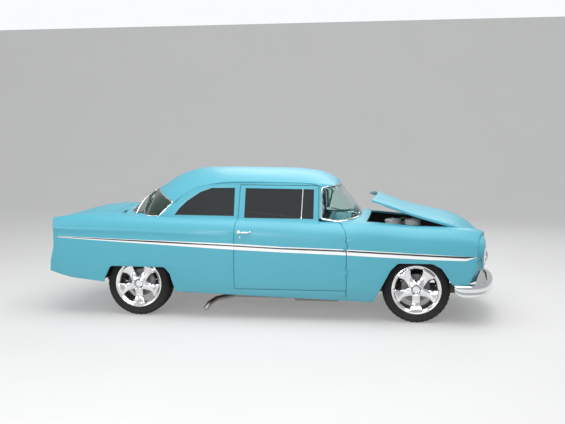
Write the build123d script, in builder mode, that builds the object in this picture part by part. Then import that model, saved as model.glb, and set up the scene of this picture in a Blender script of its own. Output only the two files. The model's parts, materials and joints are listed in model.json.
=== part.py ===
# Two-door saloon car of the mid nineteen-fifties, lowered, with its hood tilted open

from math import cos, radians, sin
import os

from build123d import *

# Axes: X forward, Y to the car's left, Z up, ground at Z = 0, all in millimetres
wheelbase = 2934
front_axle_x = 1506
rear_axle_x = front_axle_x - wheelbase
tyre_radius = 345
wheel_z = tyre_radius
wheel_track_y = 731
tyre_width = 224
tyre_bead_radius = 232
rim_lip_radius = 251
rim_width = 216
hub_bore_radius = 30
spoke_count = 5

side_wall = 20
door_wall = 60
skin = 20
panel_gap = 5
seat_gap = 0.3

glass_thickness = 6
glass_depth = 9
pillar_wall = 32

door_front_x = 792
door_rear_x = -362
door_bottom_z = 338
door_rake = 0.2
door_frame_x = -343
frame_skin_y = 806
frame_rake = 0.28
frame_lean = 0.035
frame_rise = 0.262
hood_half_width = 762
hood_rear_x = 998
hood_rear_bow = 60
hood_hinge_x = 1912
hood_hinge_z = 953
hood_rest_angle = 14.5
lid_half_width = 640
lid_front_x = -1730
lid_bottom_z = 806
hood_nose_x = 2298
fender_nose_x = 2146
nose_wall = 24

hood_pin_radius = 5
hinge_pin_radius = 4
hinge_barrel_radius = 7
hinge_barrel_length = 50
door_hinge_y = 958
door_hinge_heights = (520, 800)

frame_rail_y = 415
frame_rail_width = 62
frame_rail_height = 96
frame_rail_z = 262
kingpin_y = 640
axle_tube_radius = 42

# Body sections along X
# x, half width at the sides, half width at the shoulder, shoulder height, crown height
body_sections = [
    (-2400, 902, 838, 1050, 1000),
    (-2280, 915, 846, 1060, 1072),
    (-2110, 928, 852, 1068, 1128),
    (-1500, 950, 854, 1068, 1134),
    (-400, 962, 852, 1054, 1120),
    (792, 960, 850, 1020, 1084),
    (1250, 956, 846, 1004, 1080),
    (1800, 944, 836, 974, 1084),
    (2060, 930, 822, 948, 1052),
    (2200, 916, 806, 916, 986),
    (2330, 900, 790, 880, 900),
]

# Cabin outlines in plan at each height
# z, half width, front centre x, front corner x, rear centre x, rear corner x
cabin_sections = [
    (940, 838, 1030, 560, -1860, -1290),
    (1050, 808, 985, 540, -1740, -1210),
    (1250, 758, 832, 516, -1500, -1080),
    (1440, 706, 680, 496, -1290, -990),
    (1640, 640, 545, 470, -1080, -900),
]

# Opening in the body under the cabin, in plan, in the same columns after z
cabin_floor_plan = (766, 926, 520, -1596, -1150)

# Roof sections along X
# x, rail height at the side, crown height
roof_rail_y = 700
roof_sections = [
    (-1860, 780, 905),
    (-1363, 1096, 1371),
    (-1221, 1180, 1459),
    (-1037, 1262, 1547),
    (-880, 1342, 1580),
    (-640, 1416, 1590),
    (-52, 1436, 1584),
    (363, 1427, 1563),
    (481, 1420, 1542),
    (598, 1396, 1497),
    (700, 1352, 1430),
    (1040, 1160, 1200),
]

sides = (("left", 1), ("right", -1))
os.makedirs("parts", exist_ok=True)


def save(builder, name):
    """Label a finished piece and write it."""
    builder.part.label = name
    export_step(builder.part, f"parts/{name}.step")


def body_form(side_inset, top_inset):
    """Lower body as one lofted solid, drawn in from the skin by the insets."""
    floor_z = 190 - side_inset
    with BuildPart() as form:
        for x, half, shoulder, shoulder_z, crown_z in body_sections:
            w = half - side_inset
            s = shoulder - side_inset
            top_z = shoulder_z - top_inset
            ridge_z = shoulder_z - 138
            bulge = ((w + s) / 2 + 12, shoulder_z - 50 - top_inset / 2)
            with BuildSketch(Plane.YZ.offset(x)):
                with BuildLine():
                    ThreePointArc((w - 74, floor_z), (w - 34, 290), (w - 12, 400))
                    ThreePointArc((w - 12, 400), (w, 620), (w - 6, ridge_z))
                    ThreePointArc((w - 6, ridge_z), bulge, (s, top_z))
                    mirror(about=Plane.YZ)
                    ThreePointArc((s, top_z), (0, crown_z - top_inset), (-s, top_z))
                    Line((w - 74, floor_z), (74 - w, floor_z))
                make_face()
        loft()
    return form.part


def cabin_plan(half, front_x, front_corner_x, rear_x, rear_corner_x, inset):
    """Sketch of the cabin's outline in plan, drawn in by the inset."""
    w = half - inset
    front = front_x - inset
    rear = rear_x + inset
    front_run = front - front_corner_x
    rear_run = rear_corner_x - rear
    front_knee = (front_corner_x + 0.9 * front_run, 0.6 * w)
    rear_knee = (rear_corner_x - 0.9 * rear_run, 0.6 * w)
    with BuildSketch() as plan:
        with BuildLine():
            Line((rear_corner_x, w), (front_corner_x, w))
            ThreePointArc((front_corner_x, w), (front_corner_x + 0.6 * front_run, 0.885 * w), front_knee)
            ThreePointArc((rear_corner_x, w), (rear_corner_x - 0.6 * rear_run, 0.885 * w), rear_knee)
            mirror(about=Plane.XZ)
            ThreePointArc(front_knee, (front, 0), (front_knee[0], -front_knee[1]))
            ThreePointArc(rear_knee, (rear, 0), (rear_knee[0], -rear_knee[1]))
        make_face()
    return plan.sketch


def cabin_form(inset):
    """Upper body between belt and roof as one solid, drawn in from the skin by the inset."""
    with BuildPart() as form:
        for z, *plan in cabin_sections:
            with BuildSketch(Plane.XY.offset(z)):
                add(cabin_plan(*plan, inset))
        loft()
        add(roof_form(inset), mode=Mode.INTERSECT)
    return form.part


def roof_form(inset):
    """Everything under the roof's crown, drawn in by the inset."""
    with BuildPart() as form:
        for x, rail_z, crown_z in roof_sections:
            with BuildSketch(Plane.YZ.offset(x)):
                with BuildLine():
                    edge = 880
                    edge_z = crown_z - (crown_z - rail_z) * (edge / roof_rail_y) ** 2 - inset
                    ThreePointArc((edge, edge_z), (0, crown_z - inset), (-edge, edge_z))
                    Line((-edge, edge_z), (-edge, 300))
                    Line((-edge, 300), (edge, 300))
                    Line((edge, 300), (edge, edge_z))
                make_face()
        loft()
    return form.part


def side_prism(points, y_from=-1100, y_to=1100, radius=0):
    """Solid with an outline given in side view as (x, z) points, between two values of Y."""
    with BuildPart() as prism:
        with BuildSketch(Plane.XZ.offset(-y_to)) as outline:
            with BuildLine():
                Polyline(*points, close=True)
            make_face()
            if radius:
                fillet(outline.vertices(), radius)
        extrude(amount=y_to - y_from)
    return prism.part


def plan_prism(points, z_from=100, z_to=1700):
    """Solid with an outline given in plan as (x, y) points, between two heights."""
    with BuildPart() as prism:
        with BuildSketch(Plane.XY.offset(z_from)):
            with BuildLine():
                Polyline(*points, close=True)
            make_face()
        extrude(amount=z_to - z_from)
    return prism.part


def block(x_from, x_to, y_from, y_to, z_from, z_to):
    """Plain block between two corners."""
    with BuildPart() as solid:
        with Locations(((x_from + x_to) / 2, (y_from + y_to) / 2, (z_from + z_to) / 2)):
            Box(x_to - x_from, y_to - y_from, z_to - z_from)
    return solid.part


def nose_band(outside, thickness, z_from, z_to):
    """Curved wall that follows the nose in plan, its front face that far outside the nose line."""
    reach = 800
    bow = hood_nose_x - fender_nose_x
    curve_radius = (reach**2 + bow**2) / (2 * bow)
    centre_x = hood_nose_x - curve_radius
    with BuildPart() as band:
        with BuildSketch(Plane.XY.offset(z_from)):
            with Locations((centre_x, 0)):
                Circle(curve_radius + outside)
                Circle(curve_radius + outside - thickness, mode=Mode.SUBTRACT)
        extrude(amount=z_to - z_from)
        add(block(1900, 2600, -1100, 1100, z_from - 1, z_to + 1), mode=Mode.INTERSECT)
    return band.part


def nose_fill(outside, z_from, z_to):
    """Everything behind the nose line in plan."""
    reach = 800
    bow = hood_nose_x - fender_nose_x
    curve_radius = (reach**2 + bow**2) / (2 * bow)
    with BuildPart() as fill:
        with BuildSketch(Plane.XY.offset(z_from)):
            with Locations((hood_nose_x - curve_radius, 0)):
                Circle(curve_radius + outside)
        extrude(amount=z_to - z_from)
        with Locations((0, 0, (z_from + z_to) / 2)):
            Box(6000, 2400, z_to - z_from + 2, mode=Mode.INTERSECT)
    return fill.part


def save_pair(builder, name):
    """Write a piece of the right side, and its mirror image on the left."""
    save(builder, f"{name}_right")
    with BuildPart() as other:
        mirror(builder.part, about=Plane.XZ)
    save(other, f"{name}_left")


# Outlines in side view
tail_line = [(-2368, 1200), (-2357, 1000), (-2346, 930), (-2342, 745), (-2381, 590), (-2390, 481)]
tail_floor_line = [(-2376, 476), (-2261, 442), (-2140, 413), (-1790, 377)]
rocker_line = [(-985, 287), (1042, 221)]
fender_front_line = [(1872, 421), (2013, 428), (2125, 679), (2420, 690), (2420, 1200)]
rear_arch = [(-1790, 250), (-1775, 400), (-1700, 549), (-1110, 549), (-1050, 480), (-985, 250)]
front_arch = [(1030, 150), (1238, 560), (1310, 634), (1650, 634), (1745, 585), (1868, 400), (1872, 150)]
door_outline = [
    (door_rear_x, door_bottom_z), (door_front_x, door_bottom_z), (door_front_x, 885), (770, 965),
    (728, 1018), (500, 1060), (496, 1397), (-330, 1404), (-342, 1060), (-358, 1000),
]
door_glass_outline = [(-281, 1062), (448, 1058), (448, 1362), (-276, 1372)]
quarter_glass_outline = [
    (-1032, 1086), (-391, 1080), (-391, 1374), (-640, 1372), (-760, 1330), (-900, 1236), (-985, 1156),
]
windscreen_outline = [(532, 1000), (526, 1372), (560, 1384), (700, 1404), (1150, 1440), (1150, 1000)]
rear_window_outline = [
    (-1190, 1000), (-1196, 1082), (-1062, 1218), (-1376, 1358), (-1460, 1420), (-1950, 1420), (-1950, 1000),
]


def grown(points, amount, centre):
    """Outline with each point moved away from a centre, along X and Z, by an amount."""
    cx, cz = centre
    return [(x + (amount if x > cx else -amount), z + (amount if z > cz else -amount)) for x, z in points]


def behind_door(edge_x, edge_y, slope, lean, rise, z_from, z_to):
    """Everything behind the door's rear edge, a plane that runs forward as it goes inboard."""
    with BuildPart() as rear:
        with BuildSketch(Plane.XY.offset(z_from)):
            with BuildLine():
                reach = 700
                Polyline((edge_x - slope * 200, edge_y - 200), (edge_x + slope * reach, edge_y + reach),
                         (edge_x - 600, edge_y + reach), (edge_x - 600, edge_y - 200), close=True)
            make_face()
        extrude(amount=z_to - z_from, dir=(lean, rise, 1))
    return rear.part


def door_rear_cut(gap):
    """Space behind the door's rear edge, set back by a gap: below the belt, and beside the window."""
    return [
        behind_door(door_rear_x - gap, -door_hinge_y, door_rake, 0, 0, 100, belt_z),
        behind_door(door_frame_x - gap, -frame_skin_y, frame_rake, frame_lean, frame_rise, belt_z, 1600),
    ]


door_centre = (200, 980)
belt_z = 1056
body_outer = body_form(0, 0)
body_inner = body_form(side_wall, skin)
body_inner_deep = body_form(door_wall, skin)
cabin_outer = cabin_form(0)
cabin_inner = cabin_form(pillar_wall)
glass_outer = cabin_form(glass_depth)
glass_inner = cabin_form(glass_depth + glass_thickness)

with BuildPart() as cabin_well:
    with BuildSketch(Plane.XY.offset(100)):
        add(cabin_plan(*cabin_floor_plan, 0))
    extrude(amount=1100)

side_outline = side_prism(tail_line + tail_floor_line + rocker_line + fender_front_line)
arches = side_prism(rear_arch, radius=45) + side_prism(front_arch, radius=55)
with BuildPart() as door_room:
    add(side_prism(grown(door_outline, panel_gap, door_centre), -1100, -400))
    for rear in door_rear_cut(panel_gap):
        add(rear, mode=Mode.SUBTRACT)
    mirror(about=Plane.XZ)
door_cut = door_room.part

with BuildPart() as skin_shell:
    add(body_outer)
    add(body_inner, mode=Mode.SUBTRACT)
    add(side_outline, mode=Mode.INTERSECT)
    add(arches, mode=Mode.SUBTRACT)
    add(cabin_well.part, mode=Mode.SUBTRACT)

fender_inner_edge = hood_half_width + panel_gap
hood_taper_x = 1940
hood_nose_half_width = 672
hood_plan = [
    (hood_rear_x, -hood_half_width), (hood_taper_x, -hood_half_width), (2110, -hood_nose_half_width),
    (2500, -hood_nose_half_width), (2500, hood_nose_half_width), (2110, hood_nose_half_width),
    (hood_taper_x, hood_half_width), (hood_rear_x, hood_half_width),
]
hood_room = [
    (hood_rear_x - 400, -fender_inner_edge), (hood_taper_x, -fender_inner_edge),
    (2112, -hood_nose_half_width - panel_gap), (2600, -hood_nose_half_width - panel_gap),
    (2600, hood_nose_half_width + panel_gap), (2112, hood_nose_half_width + panel_gap),
    (hood_taper_x, fender_inner_edge), (hood_rear_x - 400, fender_inner_edge),
]
nose_limit = nose_fill(0, 100, 1300)
front_wall_x = 802
front_wall_thickness = 24
tunnel_half_width = 132
tunnel_top_z = 442

# Headlamp sockets
headlamp_y = 796
headlamp_z = 790
headlamp_radius = 92
headlamp_ring_radius = 107
nacelle_radius = 116
nacelle_x = 2150

# Fenders, with the fixed half of the door hinges and the hood's hinge bosses
hinge_x = door_front_x + panel_gap / 2
knuckle_room = 12
half_barrel = hinge_barrel_length / 2
with BuildPart() as nose_face:
    add(nose_band(0, nose_wall, 420, 1100))
    add(body_outer, mode=Mode.INTERSECT)
    add(side_outline, mode=Mode.INTERSECT)
    add(block(1900, 2600, -1100, -hood_nose_half_width - panel_gap, 400, 1200), mode=Mode.INTERSECT)

with BuildPart() as fender:
    add(skin_shell.part)
    add(block(500, 2400, -1100, -500, 100, 1300), mode=Mode.INTERSECT)
    add(plan_prism(hood_room), mode=Mode.SUBTRACT)
    add(door_cut, mode=Mode.SUBTRACT)
    add(block(400, door_front_x + panel_gap, -1100, 0, 0, 800), mode=Mode.SUBTRACT)
    add(nose_limit, mode=Mode.INTERSECT)
    add(nose_face.part)
    for z in door_hinge_heights:
        barrel_room = block(700, hinge_x + knuckle_room, -1000, -door_hinge_y + knuckle_room,
                            z - half_barrel, z + half_barrel)
        add(barrel_room, mode=Mode.SUBTRACT)
        for step in (-1, 1):
            with Locations((hinge_x, -door_hinge_y, z + step * (half_barrel + hinge_barrel_length / 4))):
                Cylinder(hinge_barrel_radius, hinge_barrel_length / 2 - 2 * seat_gap)
        with Locations((hinge_x, -door_hinge_y, z)):
            Cylinder(hinge_pin_radius, 2 * hinge_barrel_length - 2)
    with Locations(Plane((nacelle_x - 45, -headlamp_y, headlamp_z), z_dir=(1, 0, 0))):
        Cylinder(nacelle_radius, 110)
    with Locations(Plane((nacelle_x + 100, -headlamp_y, headlamp_z), z_dir=(1, 0, 0))):
        Cylinder(headlamp_ring_radius + 3, 200, mode=Mode.SUBTRACT)
    with Locations(Plane((nacelle_x, -headlamp_y, headlamp_z), z_dir=(1, 0, 0))):
        Cylinder(headlamp_radius, 400, mode=Mode.SUBTRACT)
    add(block(hood_hinge_x - 16, hood_hinge_x + 16, -800, -fender_inner_edge - 1, 925, 960))
    with Locations(Plane((hood_hinge_x, -745, hood_hinge_z), z_dir=(0, 1, 0))):
        Cylinder(hood_pin_radius, 90)
save_pair(fender, "fender")

# Quarter panels, each with its sill under the door
with BuildPart() as quarter:
    add(skin_shell.part)
    add(block(-2420, 792, -1100, -600, 100, 1300), mode=Mode.INTERSECT)
    add(block(-2420, lid_front_x - panel_gap, -lid_half_width - panel_gap, 0, 100, 1300), mode=Mode.SUBTRACT)
    add(block(lid_front_x - panel_gap, 800, -700, 0, 100, 1300), mode=Mode.SUBTRACT)
    add(door_cut, mode=Mode.SUBTRACT)
    add(block(500, 800, -1100, 0, 800, 1300), mode=Mode.SUBTRACT)
save_pair(quarter, "quarter")

# Cowl, with the firewall
with BuildPart() as hood_field:
    with BuildSketch(Plane.XY.offset(600)):
        with BuildLine():
            Polyline(*hood_plan)
            ThreePointArc(hood_plan[-1], (hood_rear_x + hood_rear_bow, 0), hood_plan[0])
        make_face()
    extrude(amount=700)
hood_cut_x = hood_rear_x - panel_gap
with BuildPart() as hood_cut:
    with BuildSketch(Plane.XY.offset(600)):
        with BuildLine():
            Polyline((hood_cut_x, -hood_half_width), (2600, -hood_half_width),
                     (2600, hood_half_width), (hood_cut_x, hood_half_width))
            ThreePointArc((hood_cut_x, hood_half_width), (hood_cut_x + hood_rear_bow, 0),
                          (hood_cut_x, -hood_half_width))
        make_face()
    extrude(amount=700)

firewall_front_x = front_wall_x + front_wall_thickness
with BuildPart() as firewall:
    add(body_inner)
    add(block(front_wall_x, firewall_front_x, -1000, 1000, 300, 1200), mode=Mode.INTERSECT)
    add(block(700, 900, -tunnel_half_width, tunnel_half_width, 0, tunnel_top_z), mode=Mode.SUBTRACT)

with BuildPart() as cowl:
    add(skin_shell.part)
    add(block(500, 1200, -fender_inner_edge, fender_inner_edge, 900, 1300), mode=Mode.INTERSECT)
    add(hood_cut.part, mode=Mode.SUBTRACT)
    add(door_cut, mode=Mode.SUBTRACT)
    add(firewall.part)
save(cowl, "cowl")

# Panel between the rear window and the boot lid, with the shelf under the window
lid_hinge_x = lid_front_x - panel_gap / 2
lid_hinge_y = 150
lid_hinge_z = 1146
shelf_z = 1046
shelf_thickness = 14
shelf_wall_x = -1640
hinge_ear_length = 18
hinge_ear_low_z = 1126
hinge_ear_high_z = 1143
with BuildPart() as rear_deck:
    add(skin_shell.part)
    add(block(lid_front_x, -1000, -700 + seat_gap, 700 - seat_gap, 900, 1300), mode=Mode.INTERSECT)
    add(block(shelf_wall_x, -1010, -700, 700, shelf_z - shelf_thickness, shelf_z))
    add(block(shelf_wall_x, shelf_wall_x + 20, -700, 700, shelf_z - shelf_thickness, 1115))
    for side in (-1, 1):
        y = side * lid_hinge_y
        with Locations(Plane((lid_hinge_x, y, lid_hinge_z), z_dir=(0, 1, 0))):
            Cylinder(knuckle_room, hinge_barrel_length, mode=Mode.SUBTRACT)
        for step in (-1, 1):
            ear_y = y + step * (half_barrel + hinge_barrel_length / 4)
            with Locations(Plane((lid_hinge_x, ear_y, lid_hinge_z), z_dir=(0, 1, 0))):
                Cylinder(hinge_barrel_radius, hinge_barrel_length / 2 - 2 * seat_gap)
            add(block(lid_hinge_x, lid_hinge_x + hinge_ear_length, ear_y - 10, ear_y + 10,
                      hinge_ear_low_z, hinge_ear_high_z))
        with Locations(Plane((lid_hinge_x, y, lid_hinge_z), z_dir=(0, 1, 0))):
            Cylinder(hinge_pin_radius, 2 * hinge_barrel_length - 2)
save(rear_deck, "rear_deck")

tail_lamp_y = 786
tail_lamp_z = 905
tail_lamp_radius = 80
tail_lamp_seat_x = -2338

# Tail panel under the lid, with the rolled pan, and the boot's rear wall
tail_wall = 24
tail_inner = [(x + tail_wall, z) for x, z in tail_line]
tail_floor_inner = [(x, z + 18) for x, z in tail_floor_line[:3]]
boot_wall_x = -2140
boot_room = side_prism(tail_inner + tail_floor_inner + [(boot_wall_x, 1200)])
lid_opening_y = lid_half_width + panel_gap
lid_opening_z = lid_bottom_z - panel_gap
with BuildPart() as tail_panel:
    add(body_inner)
    add(side_outline, mode=Mode.INTERSECT)
    add(boot_room, mode=Mode.SUBTRACT)
    add(block(-2420, boot_wall_x, -1100, 1100, 300, 1300), mode=Mode.INTERSECT)
    add(block(-2420, -2000, -lid_opening_y, lid_opening_y, lid_opening_z, 1300), mode=Mode.SUBTRACT)
    for side in (-1, 1):
        with Locations(Plane((tail_lamp_seat_x - 60, side * tail_lamp_y, tail_lamp_z), z_dir=(1, 0, 0))):
            Cylinder(tail_lamp_radius + seat_gap, 120, mode=Mode.SUBTRACT)
save(tail_panel, "tail_panel")

# Boot lid, hinged at its front edge
with BuildPart() as lid_face:
    add(body_outer)
    add(side_outline, mode=Mode.INTERSECT)
    add(boot_room, mode=Mode.SUBTRACT)
    add(block(-2420, -2300, -lid_half_width, lid_half_width, lid_bottom_z, 1300), mode=Mode.INTERSECT)

with BuildPart() as boot_lid:
    add(skin_shell.part)
    add(block(-2420, lid_front_x - panel_gap, -lid_half_width, lid_half_width, 900, 1300), mode=Mode.INTERSECT)
    add(lid_face.part)
    for side in (-1, 1):
        with Locations(Plane((lid_hinge_x, side * lid_hinge_y, lid_hinge_z), z_dir=(0, 1, 0))):
            Cylinder(knuckle_room, 2 * hinge_barrel_length + 4, mode=Mode.SUBTRACT)
        add(block(lid_hinge_x - hinge_ear_length, lid_hinge_x, side * lid_hinge_y - half_barrel + seat_gap,
                  side * lid_hinge_y + half_barrel - seat_gap, hinge_ear_low_z, hinge_ear_high_z))
        with Locations(Plane((lid_hinge_x, side * lid_hinge_y, lid_hinge_z), z_dir=(0, 1, 0))):
            Cylinder(hinge_barrel_radius, hinge_barrel_length - 2 * seat_gap)
            Cylinder(hinge_pin_radius + seat_gap, 2 * hinge_barrel_length, mode=Mode.SUBTRACT)
save(boot_lid, "boot_lid")

# Roof with its pillars
with BuildPart() as roof:
    add(cabin_outer)
    add(cabin_inner, mode=Mode.SUBTRACT)
    add(body_outer, mode=Mode.SUBTRACT)
    add(side_prism(windscreen_outline), mode=Mode.SUBTRACT)
    add(side_prism(rear_window_outline), mode=Mode.SUBTRACT)
    add(side_prism(quarter_glass_outline), mode=Mode.SUBTRACT)
    add(door_cut, mode=Mode.SUBTRACT)
save(roof, "roof")

# Glass
with BuildPart() as glass_shell:
    add(glass_outer)
    add(glass_inner, mode=Mode.SUBTRACT)
    add(body_outer, mode=Mode.SUBTRACT)
glass_pieces = (
    ("windscreen", windscreen_outline, (700, 1200)),
    ("rear_window", rear_window_outline, (-1600, 1200)),
    ("quarter_glass", quarter_glass_outline, (-700, 1200)),
)
for name, outline, centre in glass_pieces:
    with BuildPart() as glass:
        add(glass_shell.part)
        add(side_prism(grown(outline, -seat_gap, centre)), mode=Mode.INTERSECT)
        add(door_cut, mode=Mode.SUBTRACT)
    save(glass, name)

# Doors, each with its glass
with BuildPart() as door_frame:
    add(cabin_outer)
    add(cabin_inner, mode=Mode.SUBTRACT)
    add(body_outer, mode=Mode.SUBTRACT)
    add(side_prism(door_outline, y_to=-500), mode=Mode.INTERSECT)
    add(block(-500, 500, -1100, -500, 900, 1500), mode=Mode.INTERSECT)
    add(side_prism(door_glass_outline), mode=Mode.SUBTRACT)
    add(door_rear_cut(0)[1], mode=Mode.SUBTRACT)

with BuildPart() as door_panel:
    add(body_outer)
    add(body_inner_deep, mode=Mode.SUBTRACT)
    add(side_prism(door_outline, y_to=-500), mode=Mode.INTERSECT)
    add(cabin_well.part, mode=Mode.SUBTRACT)
    for rear in door_rear_cut(0):
        add(rear, mode=Mode.SUBTRACT)
    add(door_frame.part)

with BuildPart() as door:
    add(door_panel.part)
    for z in door_hinge_heights:
        with Locations((hinge_x, -door_hinge_y, z)):
            Cylinder(knuckle_room, 2 * hinge_barrel_length + 4, mode=Mode.SUBTRACT)
        with Locations((hinge_x - knuckle_room / 2, -door_hinge_y + hinge_barrel_radius / 2, z)):
            Box(knuckle_room + 4, hinge_barrel_radius, hinge_barrel_length - 2 * seat_gap)
        with Locations((hinge_x, -door_hinge_y, z)):
            Cylinder(hinge_barrel_radius, hinge_barrel_length - 2 * seat_gap)
            Cylinder(hinge_pin_radius + seat_gap, 2 * hinge_barrel_length, mode=Mode.SUBTRACT)
save_pair(door, "door")

with BuildPart() as door_glass:
    add(glass_shell.part)
    add(side_prism(grown(door_glass_outline, -seat_gap, (100, 1200)), y_to=-300), mode=Mode.INTERSECT)
save_pair(door_glass, "door_glass")

# Hood, tilted about its front hinge
hood_lip_z = 868
hood_boss_y = 725
hood_boss_radius = 11
with BuildPart() as hood_lip:
    add(nose_band(0, nose_wall, hood_lip_z, 1200))
    add(body_outer, mode=Mode.INTERSECT)
    add(hood_field.part, mode=Mode.INTERSECT)

with BuildPart() as hood_closed:
    add(body_outer)
    add(body_inner, mode=Mode.SUBTRACT)
    add(hood_field.part, mode=Mode.INTERSECT)
    add(nose_limit, mode=Mode.INTERSECT)
    add(block(900, 2500, -1000, 1000, hood_lip_z, 1300), mode=Mode.INTERSECT)
    add(hood_lip.part)
    for side in (-1, 1):
        boss_y = side * hood_boss_y
        add(block(hood_hinge_x - hood_boss_radius, hood_hinge_x + hood_boss_radius, boss_y - 20, boss_y + 20,
                  hood_hinge_z, 978))
        with Locations(Plane((hood_hinge_x, boss_y, hood_hinge_z), z_dir=(0, 1, 0))):
            Cylinder(hood_boss_radius, 40)
            Cylinder(hood_pin_radius + seat_gap, 60, mode=Mode.SUBTRACT)

hood_axis = Axis((hood_hinge_x, 0, hood_hinge_z), (0, 1, 0))
with BuildPart() as hood:
    add(hood_closed.part.rotate(hood_axis, hood_rest_angle))
save(hood, "hood")

# Floor with its tunnel, boot floor and rear wheel houses
floor_z = 292
floor_thickness = 12
boot_floor_z = 522
house_wall = 12
house_inner_y = 578
house_outer_y = 925
pan_rear_x = -960
pan_half_width = 900
boot_floor_rear_x = -2330
tunnel_room_y = tunnel_half_width - house_wall
tunnel_room_z = tunnel_top_z - house_wall
rear_house = [(-1808, 385), (-1808, 640), (-1700, 735), (-1150, 735), (-1035, 640), (-972, 480), (-972, 290)]


def wheel_house(side):
    """Walls of a rear wheel house, and the room inside them."""
    y_in, y_out = sorted((side * house_inner_y, side * house_outer_y))
    wall_in = house_wall if side > 0 else 0
    wall_out = house_wall if side < 0 else 0
    with BuildPart() as room:
        add(side_prism(grown(rear_house, -house_wall, (-1400, 0)), y_in, y_out, radius=50))
        add(block(-2000, -800, y_in + wall_in, y_out - wall_out, 0, 800), mode=Mode.INTERSECT)
    with BuildPart() as walls:
        add(side_prism(rear_house, y_in, y_out, radius=60))
        add(room.part, mode=Mode.SUBTRACT)
    return walls.part, room.part


with BuildPart() as floor_pan:
    pan_front_x = front_wall_x - seat_gap
    boot_floor_top = boot_floor_z + floor_thickness
    add(block(pan_rear_x, pan_front_x, -pan_half_width, pan_half_width, floor_z, floor_z + floor_thickness))
    add(block(pan_rear_x, pan_front_x, -tunnel_half_width, tunnel_half_width, floor_z, tunnel_top_z))
    add(block(pan_rear_x - 20, front_wall_x + 50, -tunnel_room_y, tunnel_room_y, 200, tunnel_room_z),
        mode=Mode.SUBTRACT)
    add(block(pan_rear_x - floor_thickness, pan_rear_x, -pan_half_width, pan_half_width,
              floor_z, boot_floor_top))
    add(block(pan_rear_x - 20, pan_rear_x + 10, -tunnel_room_y, tunnel_room_y, 200, tunnel_room_z),
        mode=Mode.SUBTRACT)
    add(block(boot_floor_rear_x, pan_rear_x, -house_inner_y, house_inner_y, boot_floor_z, boot_floor_top))
    add(block(boot_floor_rear_x, -1700, -pan_half_width, pan_half_width, boot_floor_z, boot_floor_top))
    for side in (1, -1):
        walls, room = wheel_house(side)
        add(room, mode=Mode.SUBTRACT)
        add(walls)
    add(body_form(side_wall + seat_gap, skin + seat_gap), mode=Mode.INTERSECT)
    add(block(-2340, -2300, -1000, 1000, 0, 1000), mode=Mode.SUBTRACT)
    for side in (-1, 1):
        wall_y = side * (house_inner_y + house_wall / 2)
        add(block(rear_axle_x - 75, rear_axle_x + 75, wall_y - 20, wall_y + 20, 200, 440), mode=Mode.SUBTRACT)
save(floor_pan, "floor_pan")

# Inner fenders beside the engine
front_house = [(1036, 225), (1150, 560), (1235, 745), (1800, 745), (1908, 560), (1908, 430)]
with BuildPart() as inner_fender:
    add(side_prism(front_house, -935, -452))
    add(side_prism(grown(front_house, -house_wall, (1500, 0)), -940, -452 - house_wall), mode=Mode.SUBTRACT)
    add(block(900, 2000, -1000, 0, 0, 240), mode=Mode.SUBTRACT)
    add(block(front_axle_x - 170, front_axle_x + 170, -500, 0, 0, 505), mode=Mode.SUBTRACT)
    add(body_form(side_wall + seat_gap, skin + seat_gap), mode=Mode.INTERSECT)
with BuildPart() as inner_fenders:
    add(inner_fender.part)
    mirror(about=Plane.XZ)
save(inner_fenders, "inner_fenders")

# Ladder frame, raised over the rear axle
frame_line = [(-2110, 404), (-1200, 404), (-990, 180), (900, 180), (1120, 246), (2090, 246)]
frame_top = [(x, z + frame_rail_height) for x, z in reversed(frame_line)]
cross_members = ((-2060, 404), (-800, 180), (-150, 180), (830, 180), (1500, 246), (2040, 246))
cross_member_height = 60
body_mounts = (
    (-900, 276, floor_z), (-100, 276, floor_z), (700, 276, floor_z), (-1300, 500, boot_floor_z),
    (-2000, 500, boot_floor_z),
)
mount_radius = 28
rail_inner_y = frame_rail_y - frame_rail_width / 2
rail_outer_y = frame_rail_y + frame_rail_width / 2
with BuildPart() as frame:
    for side in (1, -1):
        edges_y = sorted((side * rail_inner_y, side * rail_outer_y))
        add(side_prism(frame_line + frame_top, *edges_y))
    for x, z in cross_members:
        add(block(x - 40, x + 40, -frame_rail_y, frame_rail_y, z + 2, z + 2 + cross_member_height))
    for x, low, high in body_mounts:
        for side in (-1, 1):
            with Locations((x, side * frame_rail_y, (low - 6 + high - seat_gap) / 2)):
                Cylinder(mount_radius, high - low + 6 - seat_gap)
save(frame, "frame")

# Engine with gearbox
carburettor_x = (1298, 1523)
head_y = 205
head_z = 700
head_lean = 40
with BuildPart() as head:
    Box(600, 150, 190)
    fillet(head.edges().filter_by(Axis.X), 24)

with BuildPart() as engine:
    add(block(1010, 1680, -190, 190, 400, 660))
    add(block(1040, 1650, -140, 140, 322, 400))
    for side in (-1, 1):
        add(head.part.rotate(Axis.X, -side * head_lean).translate((1345, side * head_y, head_z)))
    add(block(1080, 1610, -95, 95, 640, 800))
    for side in (-1, 1):
        mount_y = sorted((side * 180, side * (rail_outer_y - 4)))
        add(block(1310, 1370, *mount_y, 342 + seat_gap, 420))
    for x in carburettor_x:
        with Locations((x, 0, 860)):
            Cylinder(46, 128)
    with Locations(Plane((930, 0, 440), z_dir=(1, 0, 0))):
        Cone(bottom_radius=100, top_radius=180, height=180)
    add(block(420, 860, -88, 88, 320, 420))
    with Locations(Plane((1700, 0, 450), z_dir=(1, 0, 0))):
        Cylinder(70, 60)
    with Locations(Plane((1730, 0, 610), z_dir=(1, 0, 0))):
        Cylinder(210, 24)
save(engine, "engine")

# Two air cleaners over the carburettors
with BuildPart() as air_cleaner:
    Cylinder(94, 76 - 2 * seat_gap)
    rims = air_cleaner.edges().group_by(Axis.Z)
    fillet(rims[-1] + rims[0], 22)

with BuildPart() as air_cleaners:
    for x in carburettor_x:
        add(air_cleaner.part.translate((x, 0, 962)))
save(air_cleaners, "air_cleaners")

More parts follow.
